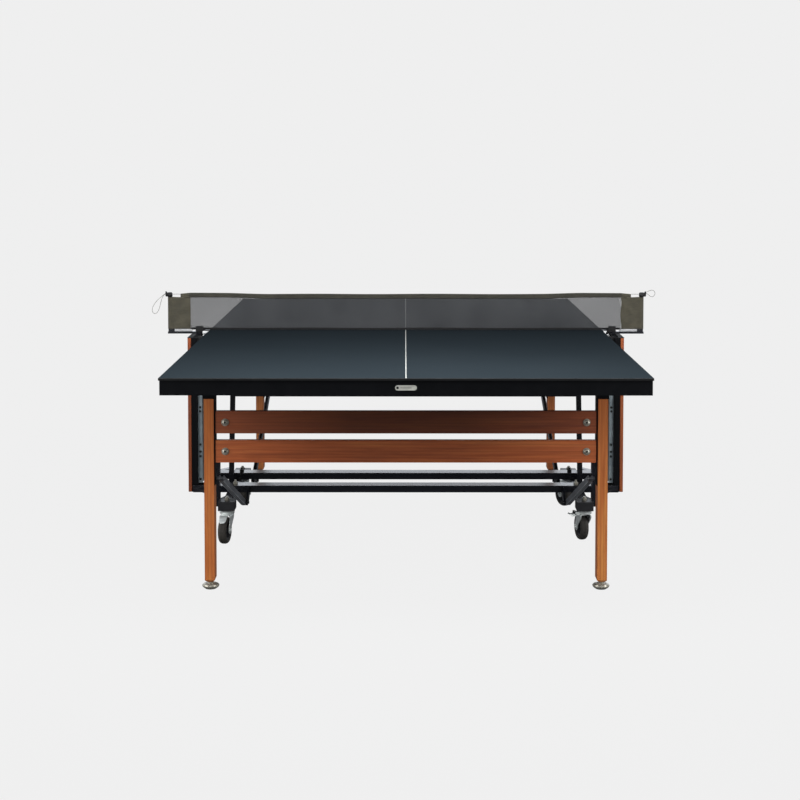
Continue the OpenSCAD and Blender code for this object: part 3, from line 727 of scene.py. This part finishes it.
for node, material, edge in (
    ("base_rails", CHASSIS, 0.002),
    ("caster_blocks", BLOCK, 0.002),
    ("cross_tubes", CHASSIS, 0.0025),
    ("side_frame_left", APRON, 0.0012),
    ("side_frame_right", APRON, 0.0012),
    ("guide_rails", STRIP, 0.0005),
    ("link_brackets", CHASSIS, 0.0008),
    ("chassis_posts", CHASSIS, 0.001),
    ("centre_uprights", CHASSIS, 0.0015),
    ("centre_bar", CHASSIS, 0.0015),
    ("links_near", LINK, 0.0007),
    ("links_far", LINK, 0.0007),
    ("carriage_near", DARK, 0.001),
    ("carriage_far", DARK, 0.001),
    ("net_arms", CHASSIS, 0.001),
    ("net_posts", CHASSIS, 0),
    ("net_clamps", PLASTIC, 0.001),
):
    refine(node, material, edge)


def side_box(shape, sign, x, y, z, mat=0):
    """A box given as ranges, mirrored to its side."""
    low, high = sorted((sign * x[0], sign * x[1]))
    shape.box((low, y[0], z[0]), (high, y[1], z[1]), None, mat)


# black caps on the guide rails and along the top of the side panels, and battens under the net
PIVOT_Y = 0.126
CAP_HALF_W, CAP_DROP, CAP_RISE = 0.0212, 0.0220, 0.0014
guide_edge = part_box("guide_rails")[1].x
inner, outer = guide_edge - 0.036, guide_edge - 0.019
for side, sx in SIDES.items():
    caps = Shape()
    top_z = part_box("side_planks_" + side)[1].z
    flange_z, lid_z = (top_z - CAP_DROP, top_z + CAP_RISE), (top_z - 0.0002, top_z + CAP_RISE)
    for s in HALVES.values():
        mid = s * PIVOT_Y
        side_box(caps, sx, (inner - 0.0010, outer), (mid - 0.0210, mid + 0.0210), lid_z)
        for e in (-1, 1):
            edge_y = sorted((mid + e * 0.0200, mid + e * CAP_HALF_W))
            face_y = sorted((mid + e * 0.0100, mid + e * CAP_HALF_W))
            side_box(caps, sx, (inner - 0.0010, outer), edge_y, flange_z)
            side_box(caps, sx, (inner - 0.0010, inner - 0.0001), face_y, flange_z)
    side_box(caps, sx, (0.8105, 0.8286), (-0.1596, 0.1596), (top_z - 0.0002, top_z + 0.0015))
    caps.piece("panel_caps_" + side, "chassis", "chassis_black", [PLASTIC], edge=0.0003)
    batten = Shape()
    side_box(batten, sx, (0.829, 0.898), (-0.0040, 0.0040), (0.7552, 0.7632))
    side_box(batten, sx, (0.898, 0.921), (-0.0050, 0.0050), (0.7548, 0.7640), 1)
    batten.piece("net_batten_" + side, "chassis", "zinc", [BATTEN, CHASSIS], edge=0.0006)

# rolled lips along the closed side of each link, in a lighter grey that paints the highlights along
# the links' edges
LINK_LO, LINK_HI = 0.6055, 0.6215
LIP_W = 0.0024
LIP_TOP, LIP_BOTTOM = 0.0095, 0.0112
for half, s in HALVES.items():
    foot_end, leg_end = Vector((0, s * 0.210, 0.128)), Vector((0, s * 0.960, 0.368))
    run = (leg_end - foot_end).normalized()
    down = Vector((0, s * run.z, -abs(run.y)))
    lips = Shape()
    for sx in (-1, 1):
        for lo, hi in ((LINK_LO, LINK_LO + LIP_W), (LINK_HI - LIP_W, LINK_HI), (0.6126, 0.6144)):
            section = ((lo, LIP_TOP), (hi, LIP_TOP),
                       (hi - 0.0004, LIP_BOTTOM), (lo + 0.0004, LIP_BOTTOM))
            ends = [Vector((sx * x, 0, 0)) + p + down * d
                    for p in (foot_end + run * 0.004, leg_end - run * 0.004) for x, d in section]
            lips.add(ends, BAR_FACES)
    lips.piece("link_lips_" + half, half + "_links", "link_grey", [LINK_EDGE_HIGHLIGHT], edge=0.0003)

for side in SIDES:
    refine("side_planks_" + side, WOOD_SIDE, 0.002, 3)
for node in ("net_screw_left", "net_screw_right"):
    refine(node, PLASTIC, 0.0015, 3)
fasteners = refine("chassis_bolts", STEEL, 0.0004, 1)
fasteners.data.materials.append(DARK)
for poly in fasteners.data.polygons:
    # the guide rails' screws and the far cross tube's nuts are black
    on_guide, on_far_tube = abs(poly.center.x) > 0.75, 0 < poly.center.y < 0.2
    poly.material_index = 1 if on_guide or on_far_tube else 0
refine("net_knobs", PLASTIC, 0.001, 3)
# pressed steel levers in front of the net clamps, two facets on each, near-white as painted
# highlights where the chrome catches the light
LEVER_BACK, LEVER_FRONT = -0.0162, -0.0176
LEVERS = {
    "left": (((-0.7880, 0.7480), (-0.7690, 0.7480), (-0.7640, 0.7580), (-0.7860, 0.7580)),
             ((-0.7900, 0.7350), (-0.7790, 0.7350), (-0.7740, 0.7450), (-0.7850, 0.7450))),
    "right": (((0.7640, 0.7500), (0.7740, 0.7480), (0.7790, 0.7580), (0.7680, 0.7600)),
              ((0.7750, 0.7350), (0.7860, 0.7350), (0.7890, 0.7460), (0.7770, 0.7460))),
}
for side, facets in LEVERS.items():
    lever = Shape()
    for outline in facets:
        lever.add([(x, y, z) for y in (LEVER_BACK, LEVER_FRONT) for x, z in outline], BAR_FACES)
    lever.piece("clamp_lever_" + side, "chassis", "steel", [LEVER_GLINT], edge=0.0003)

# ---------------- casters


def both_halves(profile):
    """A turned profile given as one half, from its end to the middle, with its mirror image."""
    return [(r, -h) for r, h in profile] + profile[::-1]


SPOKES = 10
AXLE_Z = 0.050
TRAIL = 0.035
CHEEK_R = 0.014
# turned profiles as radius and height: the wheel's about its middle, the fork's above the floor
TYRE = both_halves([
    (0.0345, 0.0125), (0.0375, 0.0152), (0.0405, 0.0160), (0.0435, 0.0152), (0.0462, 0.0132),
    (0.0484, 0.0100), (0.0495, 0.0068), (0.0499, 0.0042), (0.0499, 0.0034), (0.0490, 0.0028),
    (0.0490, 0.0022), (0.05, 0.0016),
])
HUB_PROFILE = both_halves([
    (0.0343, 0.0118), (0.0330, 0.0125), (0.0300, 0.0125), (0.0285, 0.0110), (0.0280, 0.0085),
    (0.0160, 0.0085), (0.0150, 0.0100), (0.0145, 0.0155), (0.0140, 0.0160), (0.0095, 0.0160),
    (0.0090, 0.0150), (0.0051, 0.0150),
])
HUB_CAP = [
    (0.0051, 0.0152), (0.0085, 0.0152), (0.0088, 0.0158), (0.0080, 0.0163), (0.0051, 0.0163),
]
SWIVEL_RACE = [
    (0, 0.1035), (0.020, 0.1035), (0.0245, 0.1050), (0.0272, 0.1075), (0.0280, 0.1095),
    (0.0278, 0.1112), (0.0262, 0.1118), (0.0258, 0.1124),
]
SWIVEL_HEAD = [
    (0.0258, 0.1126), (0.0276, 0.1130), (0.0279, 0.1145), (0.0262, 0.1162), (0.0215, 0.1185),
    (0.0200, 0.1203), (0.0060, 0.1204), (0.0060, 0.1425), (0, 0.1425),
]
KING_PIN = [(0.0, 0.0985), (0.0075, 0.0985), (0.0098, 0.1000), (0.0105, 0.1020), (0.0105, 0.1045)]
AXLE = [
    (0, -0.0265), (0.0045, -0.0265), (0.0050, -0.0260), (0.0050, 0.0255), (0.0042, 0.0262),
    (0, 0.0262),
]
AXLE_WASHER = [
    (0.005, 0.0210), (0.0098, 0.0210), (0.0100, 0.0213), (0.0100, 0.0220), (0.0050, 0.0222),
]
PEDAL_AXIS = axes_at((0.034, 0, 0.111), (0, 1, 0))
SIDEWAYS = Matrix.Rotation(math.pi / 2, 4, "X")
PEDAL_EAR = [
    (0.020, 0.1000), (0.0375, 0.1060), (0.0400, 0.1110), (0.0375, 0.1155), (0.0320, 0.1160),
    (0.020, 0.1110),
]
PEDAL_PIN = both_halves([(0, 0.017), (0.0035, 0.017), (0.0038, 0.0155), (0.0025, 0.015)])
PEDAL_BARREL = both_halves([(0.0026, 0.011), (0.0042, 0.011), (0.0045, 0.0106)])


def caster_axes(key, turn):
    """Frame on the floor under the caster's stem. The wheel trails along -Y."""
    x, y, _ = JOINT[key + "_swivel"]["pos_m"]
    return Matrix.Translation((x, y, 0)) @ Matrix.Rotation(turn, 4, "Z")


def wheel(key):
    j = JOINT[key + "_wheel_spin"]
    at = axes_at(j["pos_m"], j["axis"])
    shape = Shape()
    shape.lathe(TYRE, at, 0, 72, closed=True)
    shape.lathe(HUB_PROFILE, at, 1, 56, closed=True)
    for k in range(SPOKES):
        turn = at @ Matrix.Rotation(2 * math.pi * k / SPOKES, 4, "Z")
        for lo, hi in ((-0.0112, -0.008), (0.008, 0.0112)):
            shape.box((0.0145, -0.0011, lo), (0.0287, 0.0011, hi), turn, 1)
    for e in (-1, 1):
        cap = at @ Matrix.Diagonal((1, 1, e, 1))
        shape.lathe(HUB_CAP, cap, 2, 32)
    shape.piece("wheel_" + key, key + "_wheel", "tyre_rubber", [RUBBER, HUB, ZINC],
                ["caster_wheel_" + key], sharp=32)


def pressed(name, body, sheet, thickness, edge, replaces=()):
    """A zinc-plated piece pressed from sheet."""
    obj = sheet.piece(name, body, "zinc", [ZINC], replaces, sharp=60)
    bevel(thicken(obj, thickness), edge, 2, 50)


def cheek_outline(z):
    """The fork's edges along Y at a height: round under the axle, wider towards the crown."""
    if z < AXLE_Z:
        w = math.sqrt(max(CHEEK_R ** 2 - (z - AXLE_Z) ** 2, 0))
        return -TRAIL - w, -TRAIL + w
    k = min(1.0, (z - AXLE_Z) / 0.046)
    ease = k * k * (3 - 2 * k)
    return -TRAIL - CHEEK_R + 0.013 * ease, -TRAIL + CHEEK_R + 0.045 * (0.45 * k + 0.55 * ease)


def fork(key, turn, braked):
    at = caster_axes(key, turn)
    shape = Shape()
    # pressed U: up one cheek, over the crown, down the other, as a sheet between two outlines
    half_x, top_z, bend = 0.0195, 0.1060, 0.0085
    heights = [0.0365 + k * 0.0040 for k in range(15)]
    path = [(-half_x, z) for z in heights]
    path += arc(-half_x + bend, top_z - bend, bend, 180, 90, 6)
    path += arc(half_x - bend, top_z - bend, bend, 90, 0, 6)
    path += [(half_x, z) for z in reversed(heights)]
    rows = []
    for x, z in path:
        y0, y1 = cheek_outline(z)
        rows.append([(x, y0 + (y1 - y0) * k / 8, z) for k in range(9)])
    pressed("fork_" + key, key + "_caster", Shape().strip(rows, at), 0.0028, 0.0007,
            ["caster_fork_" + key])
    # swivel head, race gap with a dark ring behind it as painted shade, king pin and stem
    shape.lathe(SWIVEL_RACE, at, 0, 56)
    shape.lathe([(0.0255, 0.1116), (0.0255, 0.1130)], at, 1, 56)
    shape.lathe(SWIVEL_HEAD, at, 0, 56)
    shape.lathe(KING_PIN, at, 0, 32)
    # axle with a hex head and a lock nut
    axle = at @ axes_at((0, -TRAIL, AXLE_Z), (1, 0, 0))
    shape.lathe(AXLE, axle, 0, 24)
    for e in (-1, 1):
        end = axle @ Matrix.Diagonal((1, 1, e, 1))
        shape.lathe(AXLE_WASHER, end, 0, 32)
        shape.hexagon(0.0135, 0.0221, 0.0256, end, 0)
    if braked:
        for y in (-0.015, 0.012):
            shape.prism(PEDAL_EAR, -y - 0.003, -y, at @ SIDEWAYS, 0)
        shape.lathe(PEDAL_PIN, at @ PEDAL_AXIS, 0, 20)
    else:
        # guard curved over the wheel, rounded at its lower end
        rows = []
        for k in range(25):
            a = math.radians(-7 + 59 * k / 24)
            w = 0.0135 * math.sqrt(1 - max(0.0, (k / 24 - 0.75) / 0.27) ** 2)
            row = []
            for q in range(-4, 5):
                r = 0.0551 - 0.0011 * (q / 4) ** 2
                row.append((w * q / 4, -TRAIL - r * math.sin(a), AXLE_Z + r * math.cos(a)))
            rows.append(row)
        pressed("guard_" + key, key + "_caster", Shape().strip(rows, at), 0.0022, 0.0006)
    shape.piece("swivel_" + key, key + "_caster", "zinc", [ZINC, DARK], sharp=35)


def pedal(key, turn):
    at = caster_axes(key, turn)
    rows = []
    for k in range(15):
        # from the pivot to the round tip, crowned, with a lip turned down along each side
        t = k / 14
        x = 0.0355 + 0.0270 * t
        z = 0.1105 - 0.0035 * math.sin(t * 2.6) - 0.0005
        w = 0.0105 * math.sqrt(max(1 - max(0, (t - 0.72) / 0.285) ** 2.2, 0.02))
        lip_z = z - 0.002 - 0.0085 * math.sin(math.pi * min(1.0, 0.25 + t))
        row = [(x, w * (-1 + i / 4), z - 0.0012 * abs(-1 + i / 4) ** 3) for i in range(9)]
        rows.append([(x, -w * 1.02, lip_z)] + row + [(x, w * 1.02, lip_z)])
    pressed("pedal_" + key, key + "_pedal", Shape().strip(rows, at), 0.0026, 0.0006,
            ["brake_pedal_" + key])
    shape = Shape()
    shape.lathe(PEDAL_BARREL, at @ PEDAL_AXIS, 0, 28, closed=True)
    for lo, hi, low, high in ((0.0385, 0.0435, 0.1085, 0.1190), (0.0560, 0.0605, 0.1070, 0.1105)):
        pad = [(lo, low), (hi, low), (hi - 0.001, high - 0.001), (hi - 0.002, high),
               (lo + 0.002, high), (lo + 0.001, high - 0.001)]
        shape.prism(pad, -0.0085, 0.0085, at @ SIDEWAYS, 1)
    shape.piece("pedal_hinge_" + key, key + "_pedal", "zinc", [ZINC, PLASTIC],
                edge=0.0003, segments=1)


for half in HALVES:
    for side in SIDES:
        key = half + "_" + side
        axis = JOINT[key + "_wheel_spin"]["axis"]
        turn = math.atan2(axis[1], axis[0])
        braked = key + "_pedal_press" in JOINT
        wheel(key)
        fork(key, turn, braked)
        if braked:
            pedal(key, turn)

# ---------------- net

# half the mesh's and the binding's lengths, and the posts' distance from the middle
MESH_X, BIND_X, POST_X = 0.835, 0.874, 0.917
MESH_LO, MESH_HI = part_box("net_mesh")
BIND_LO, BIND_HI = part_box("net_binding")


def sag(x):
    """How far the net's upper edge hangs below its ends."""
    end = unit((abs(x) - MESH_X) / (BIND_X - MESH_X))
    t = unit((0.70 - abs(x)) / 0.18)
    return 0.0020 - 0.0039 * t * t * (3 - 2 * t) - 0.0036 * end


def sway(x, z):
    """Slow waves of the hung cloth, across the net."""
    return 0.0011 * math.sin(7.1 * x + 9 * z) + 0.0007 * math.sin(17.3 * x + 1.3)


def thread_faces(steps):
    """Faces of a thin square bar of so many steps, closed at its ends."""
    n = 4 * steps
    sides = [(4 * k + a, 4 * k + (a + 1) % 4, 4 * k + 4 + (a + 1) % 4, 4 * k + 4 + a)
             for k in range(steps) for a in range(4)]
    return sides + [(3, 2, 1, 0), (n, n + 1, n + 2, n + 3)]


def jitter(amount):
    return random.uniform(-1, 1) * amount


# woven net: upright and crosswise threads one behind the other
PITCH = 0.0021
HALF_W, HALF_T = 0.00118 / 2, 0.0003 / 2
BESIDE = 0.00016
net = Shape()
low, high = MESH_LO.z - 0.003, MESH_HI.z + 0.004
columns, levels = int(2 * MESH_X / PITCH), 5
for i in range(columns + 1):
    x0 = -MESH_X + i * 2 * MESH_X / columns + jitter(0.00012)
    verts = []
    for k in range(levels + 1):
        z = low + (high + sag(x0) - low) * (k / levels)
        x = x0 + jitter(0.00010)
        y = sway(x0, z) - BESIDE
        verts += [(x - HALF_W, y - HALF_T, z), (x + HALF_W, y - HALF_T, z),
                  (x + HALF_W, y + HALF_T, z), (x - HALF_W, y + HALF_T, z)]
    net.add(verts, thread_faces(levels))
rows, steps = int((high - low) / PITCH), 84
for j in range(rows + 1):
    t = j / rows + jitter(0.0008)
    verts = []
    for k in range(steps + 1):
        x = -MESH_X + 2 * MESH_X * k / steps
        z = low + (high + sag(x) - low) * t + jitter(0.00008)
        y = sway(x, z) + BESIDE
        verts += [(x, y - HALF_T, z - HALF_W), (x, y + HALF_T, z - HALF_W),
                  (x, y + HALF_T, z + HALF_W), (x, y - HALF_T, z + HALF_W)]
    net.add(verts, thread_faces(steps))
net_piece = net.piece("net_threads", "chassis", "mesh", [YARN], ["net_mesh"])


def fold_over(xs, top, bottom, wide, lift=0.0):
    """Rows of a strip folded over the net: down the front, over the top, down the back."""
    rows = []
    for x in xs:
        dz = sag(x)
        pinched = abs(x) > 0.8
        pinch = 1.0 - 0.25 * math.exp(-((abs(x) - BIND_X) / 0.012) ** 2) if pinched else 1.0
        ripple = 0.00035 * math.sin(210 * x + 2 * math.sin(31 * x))
        w = wide * pinch
        zt, zb = top + dz * lift + 0.0006 * math.sin(13 * x), bottom + dz * lift
        mid = sway(x, zt)
        swell = [(t, w * (0.55 + 0.45 * math.sin(math.pi * t * 0.6)))
                 for t in (k / 6 for k in range(1, 6))]
        row = [(x, mid - w * 0.55, zb)]
        row += [(x, mid - out + ripple * t, zb + (zt - w - zb) * t) for t, out in swell]
        row += [(x, mid - w * math.cos(a), zt - w + w * math.sin(a))
                for a in map(math.radians, range(0, 181, 22))]
        row += [(x, mid + out + ripple * t, zb + (zt - w - zb) * t) for t, out in reversed(swell)]
        row.append((x, mid + w * 0.55, zb))
        rows.append(row)
    return rows


binding_xs = [-BIND_X + 2 * BIND_X * k / 260 for k in range(261)]
binding = Shape().strip(fold_over(binding_xs, BIND_HI.z, BIND_LO.z, 0.0023, 1.0))
binding = binding.piece("net_binding_cloth", "chassis", "canvas", [BIND, CANVAS], ["net_binding"],
                        sharp=80)
thicken(binding, 0.0008)
for poly in binding.data.polygons:
    poly.material_index = 1 if abs(poly.center.x) > 0.838 else 0
mesh_xs = [-MESH_X + 2 * MESH_X * k / 120 for k in range(121)]
tape_lo, tape_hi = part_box("net_tape")
tape = Shape().strip(fold_over(mesh_xs, tape_hi.z + 0.0035, tape_lo.z, 0.0011))
tape = tape.piece("net_tape_cloth", "chassis", "mesh", [TAPE], ["net_tape"], sharp=80)
thicken(tape, 0.0006)

# stretch of the tensioning cord between the binding and each knob
for side, sx in SIDES.items():
    stub = Shape()
    path = [(sx * (0.862 + 0.0415 * k / 8), 0, 0.900 - 0.0002 * math.sin(k)) for k in range(9)]
    stub.tube(path, CORD_D / 2, 12)
    stub.piece("net_cord_run_" + side, "chassis", "cord", [CORD])

CANVAS_LO, CANVAS_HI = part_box("net_canvas")
CANVAS_Z0, CANVAS_Z1 = CANVAS_LO.z + 0.004, CANVAS_HI.z + 0.0045
CANVAS_LEVELS = 26


def canvas_section():
    """The cloth's path seen from above, for the right-hand end, in metres."""
    front, hem_x = 0.0014, 0.8366
    path = [(0.850, 0.0011), (0.843, 0.0011), (0.8375, 0.0010)]
    path += arc(hem_x, 0, 0.0012, 75, 285, 6)
    path += [(hem_x + 0.066 * k / 14, -front) for k in range(1, 14)]
    path += [(0.9045, -front), (0.9075, -0.0021), (0.9105, -0.0034)]
    path += arc(POST_X, 0, 0.0059, -140, 140, 20)
    path += [(0.9105, 0.0034), (0.9075, 0.0021), (0.9045, 0.0013), (0.899, 0.0011), (0.894, 0.0011)]
    return path


STITCH_FACES = ((0, 1, 2), (0, 2, 3), (0, 3, 4), (0, 4, 1),
                (5, 2, 1), (5, 3, 2), (5, 4, 3), (5, 1, 4))


def stitches(shape, points, across, size=0.0030, thick=0.00045, gap=0.0042):
    """Short raised threads along a line of points."""
    points = [Vector(p) for p in points]
    travelled, want = 0.0, 0.0
    for a, b in zip(points, points[1:]):
        seg = (b - a).length
        while want < travelled + seg:
            c = a.lerp(b, (want - travelled) / seg)
            along = (b - a).normalized() * size / 2
            out = Vector(across) * thick
            over = along.normalized().cross(Vector(across)) * thick
            corners = [c - along, c + over, c + out, c - over, c - out, c + along]
            shape.add(corners, STITCH_FACES)
            want += gap
        travelled += seg


for side, sx in SIDES.items():
    curl = 0.0016 if side == "right" else 0.0006
    rows = []
    for k in range(CANVAS_LEVELS + 1):
        t = k / CANVAS_LEVELS
        row = []
        for x, y in canvas_section():
            # loose between the mesh and the post, curled at the inner edge, dipped along the top
            free = unit((0.905 - x) / 0.03) * min(1.0, max(0.0, (x - 0.836) / 0.01) + 0.4)
            lift = max(0.0, sag(x)) if x < BIND_X else 0.0
            z = CANVAS_Z0 + (CANVAS_Z1 - CANVAS_Z0 + lift) * t
            edge = max(0.0, 1 - (x - MESH_X) / 0.02) if x < 0.855 else 0.0
            inward = curl * math.sin(2 * math.pi * (1.4 * t + 0.15)) * edge
            wave = 0.0010 * math.sin(90 * x + 14 * t)
            wave += 0.0006 * math.sin(4.2 * math.pi * t + 60 * x)
            dip = -0.0010 * math.sin(math.pi * unit((x - 0.836) / 0.075)) * (t ** 4)
            row.append((sx * (x + inward), y + free * wave, z + dip))
        rows.append(row)
    cloth = Shape().strip(rows)
    cloth = cloth.piece("canvas_" + side, "chassis", "canvas", [CANVAS], ["net_canvas"], sharp=80)
    thicken(cloth, 0.0007)
    seams = Shape()
    z0, z1 = CANVAS_Z0 + 0.004, CANVAS_Z1 - 0.004
    for x in (0.8400, 0.8475, 0.9015):
        for y in (-0.0019, 0.0017):
            stitches(seams, [(sx * x, y, z0), (sx * x, y, z1)], (0, 1 if y > 0 else -1, 0))
    for z in (z0, z1):
        stitches(seams, [(sx * 0.839, -0.0019, z), (sx * 0.905, -0.0019, z)], (0, -1, 0))
    seam_piece = seams.piece("canvas_stitches_" + side, "chassis", "canvas", [THREAD])

# stitching along the binding
seams = Shape()
for y in (-1, 1):
    line = [(x, sway(x, 0.9) + y * 0.0022, BIND_LO.z + 0.0035 + sag(x)) for x in mesh_xs]
    stitches(seams, line, (0, y, 0), 0.0036, 0.00045, 0.0052)
seams.piece("binding_stitches", "chassis", "canvas", [THREAD])

# ---------------- floor and light

FLOOR_R = 150
mesh = bpy.data.meshes.new("floor")
corners = ((-1, -1), (1, -1), (1, 1), (-1, 1))
mesh.from_pydata([(FLOOR_R * x, FLOOR_R * y, 0) for x, y in corners], [], [(0, 1, 2, 3)])
floor = linked("floor", mesh)
look = Tree("floor_pale")
look.set(Base_Color=(0.01, 0.01, 0.01, 1), Roughness=0.9, Specular_IOR_Level=0,
         Emission_Color=(1, 1, 1, 1), Emission_Strength=0.854)
mesh.materials.append(look.material)
floor.visible_diffuse = False
floor.visible_glossy = False
floor.visible_shadow = False


def sun(name, azimuth, elevation, strength):
    """Azimuth 0 stands behind the camera, 90 on the right."""
    data = bpy.data.lights.new(name, "SUN")
    data.energy = strength
    data.angle = math.radians(SUN_WIDTH)
    obj = linked(name, data)
    a, e = math.radians(azimuth), math.radians(elevation)
    back = Vector((math.sin(a) * math.cos(e), -math.cos(a) * math.cos(e), math.sin(e)))
    obj.rotation_mode = "QUATERNION"
    obj.rotation_quaternion = back.to_track_quat("Z", "Y")
    obj.location = back * 8


def softbox(name, place, aim, wide, high, power):
    """A rectangular light aimed at a point, unseen by the camera."""
    data = bpy.data.lights.new(name, "AREA")
    data.shape = "RECTANGLE"
    data.size, data.size_y = wide, high
    data.energy = power
    obj = linked(name, data)
    obj.location = place
    obj.rotation_mode = "QUATERNION"
    obj.rotation_quaternion = (Vector(place) - Vector(aim)).to_track_quat("Z", "Y")
    obj.visible_camera = False


SUN_WIDTH = 30
sun("key_left", -64, 21, 1.35)
sun("key_right", 64, 21, 1.35)
sun("front", 0, 27, 0.45)
softbox("over_near_end", (0, -1.45, 1.6), (0, -1.3, TOP_Z), 2.0, 0.5, 38)
for side, sx in SIDES.items():
    softbox("low_" + side, (sx * 1.75, -1.75, 0.42), (sx * 0.62, -1.0, 0.4), 0.8, 0.6, 9.5)

world = bpy.data.worlds.new("studio")
bpy.context.scene.world = world
world.use_nodes = True
world.node_tree.nodes.clear()
sky = Nodes(world.node_tree)


def greys(*stops):
    return [(at, (level, level, level, 1)) for at, level in stops]


# dim in front and below, a soft bright screen low behind the table, a dimmer ceiling
where = sky.add("ShaderNodeTexCoord").outputs["Generated"]
split = sky.add("ShaderNodeSeparateXYZ", {0: where})
height = sky.math("MULTIPLY_ADD", split.outputs["Z"], 0.5, 0.5)
ceiling = sky.ramp(height, *greys((0.0, 0.10), (0.45, 0.05), (0.52, 0.07), (0.65, 0.16),
                                  (0.8, 0.32), (1.0, 0.45)))
behind = sky.ramp(split.outputs["Y"], *greys((0.2, 0.0), (0.7, 1.0)))
band = sky.ramp(height, *greys((0.48, 0.0), (0.53, 1.0), (0.70, 0.9), (0.82, 0.0)))
screen = sky.math("MULTIPLY", behind, band)
total = sky.math("ADD", ceiling, sky.math("MULTIPLY", screen, 1.5))
lit = sky.add("ShaderNodeBackground", {"Color": (0.95, 1.0, 1.07, 1), "Strength": total})
seen = sky.add("ShaderNodeBackground", {"Color": rgb("efefef")})
camera_ray = sky.add("ShaderNodeLightPath").outputs["Is Camera Ray"]
mixer = sky.add("ShaderNodeMixShader", {0: camera_ray, 1: lit.outputs[0], 2: seen.outputs[0]})
sky.add("ShaderNodeOutputWorld", {"Surface": mixer.outputs[0]})
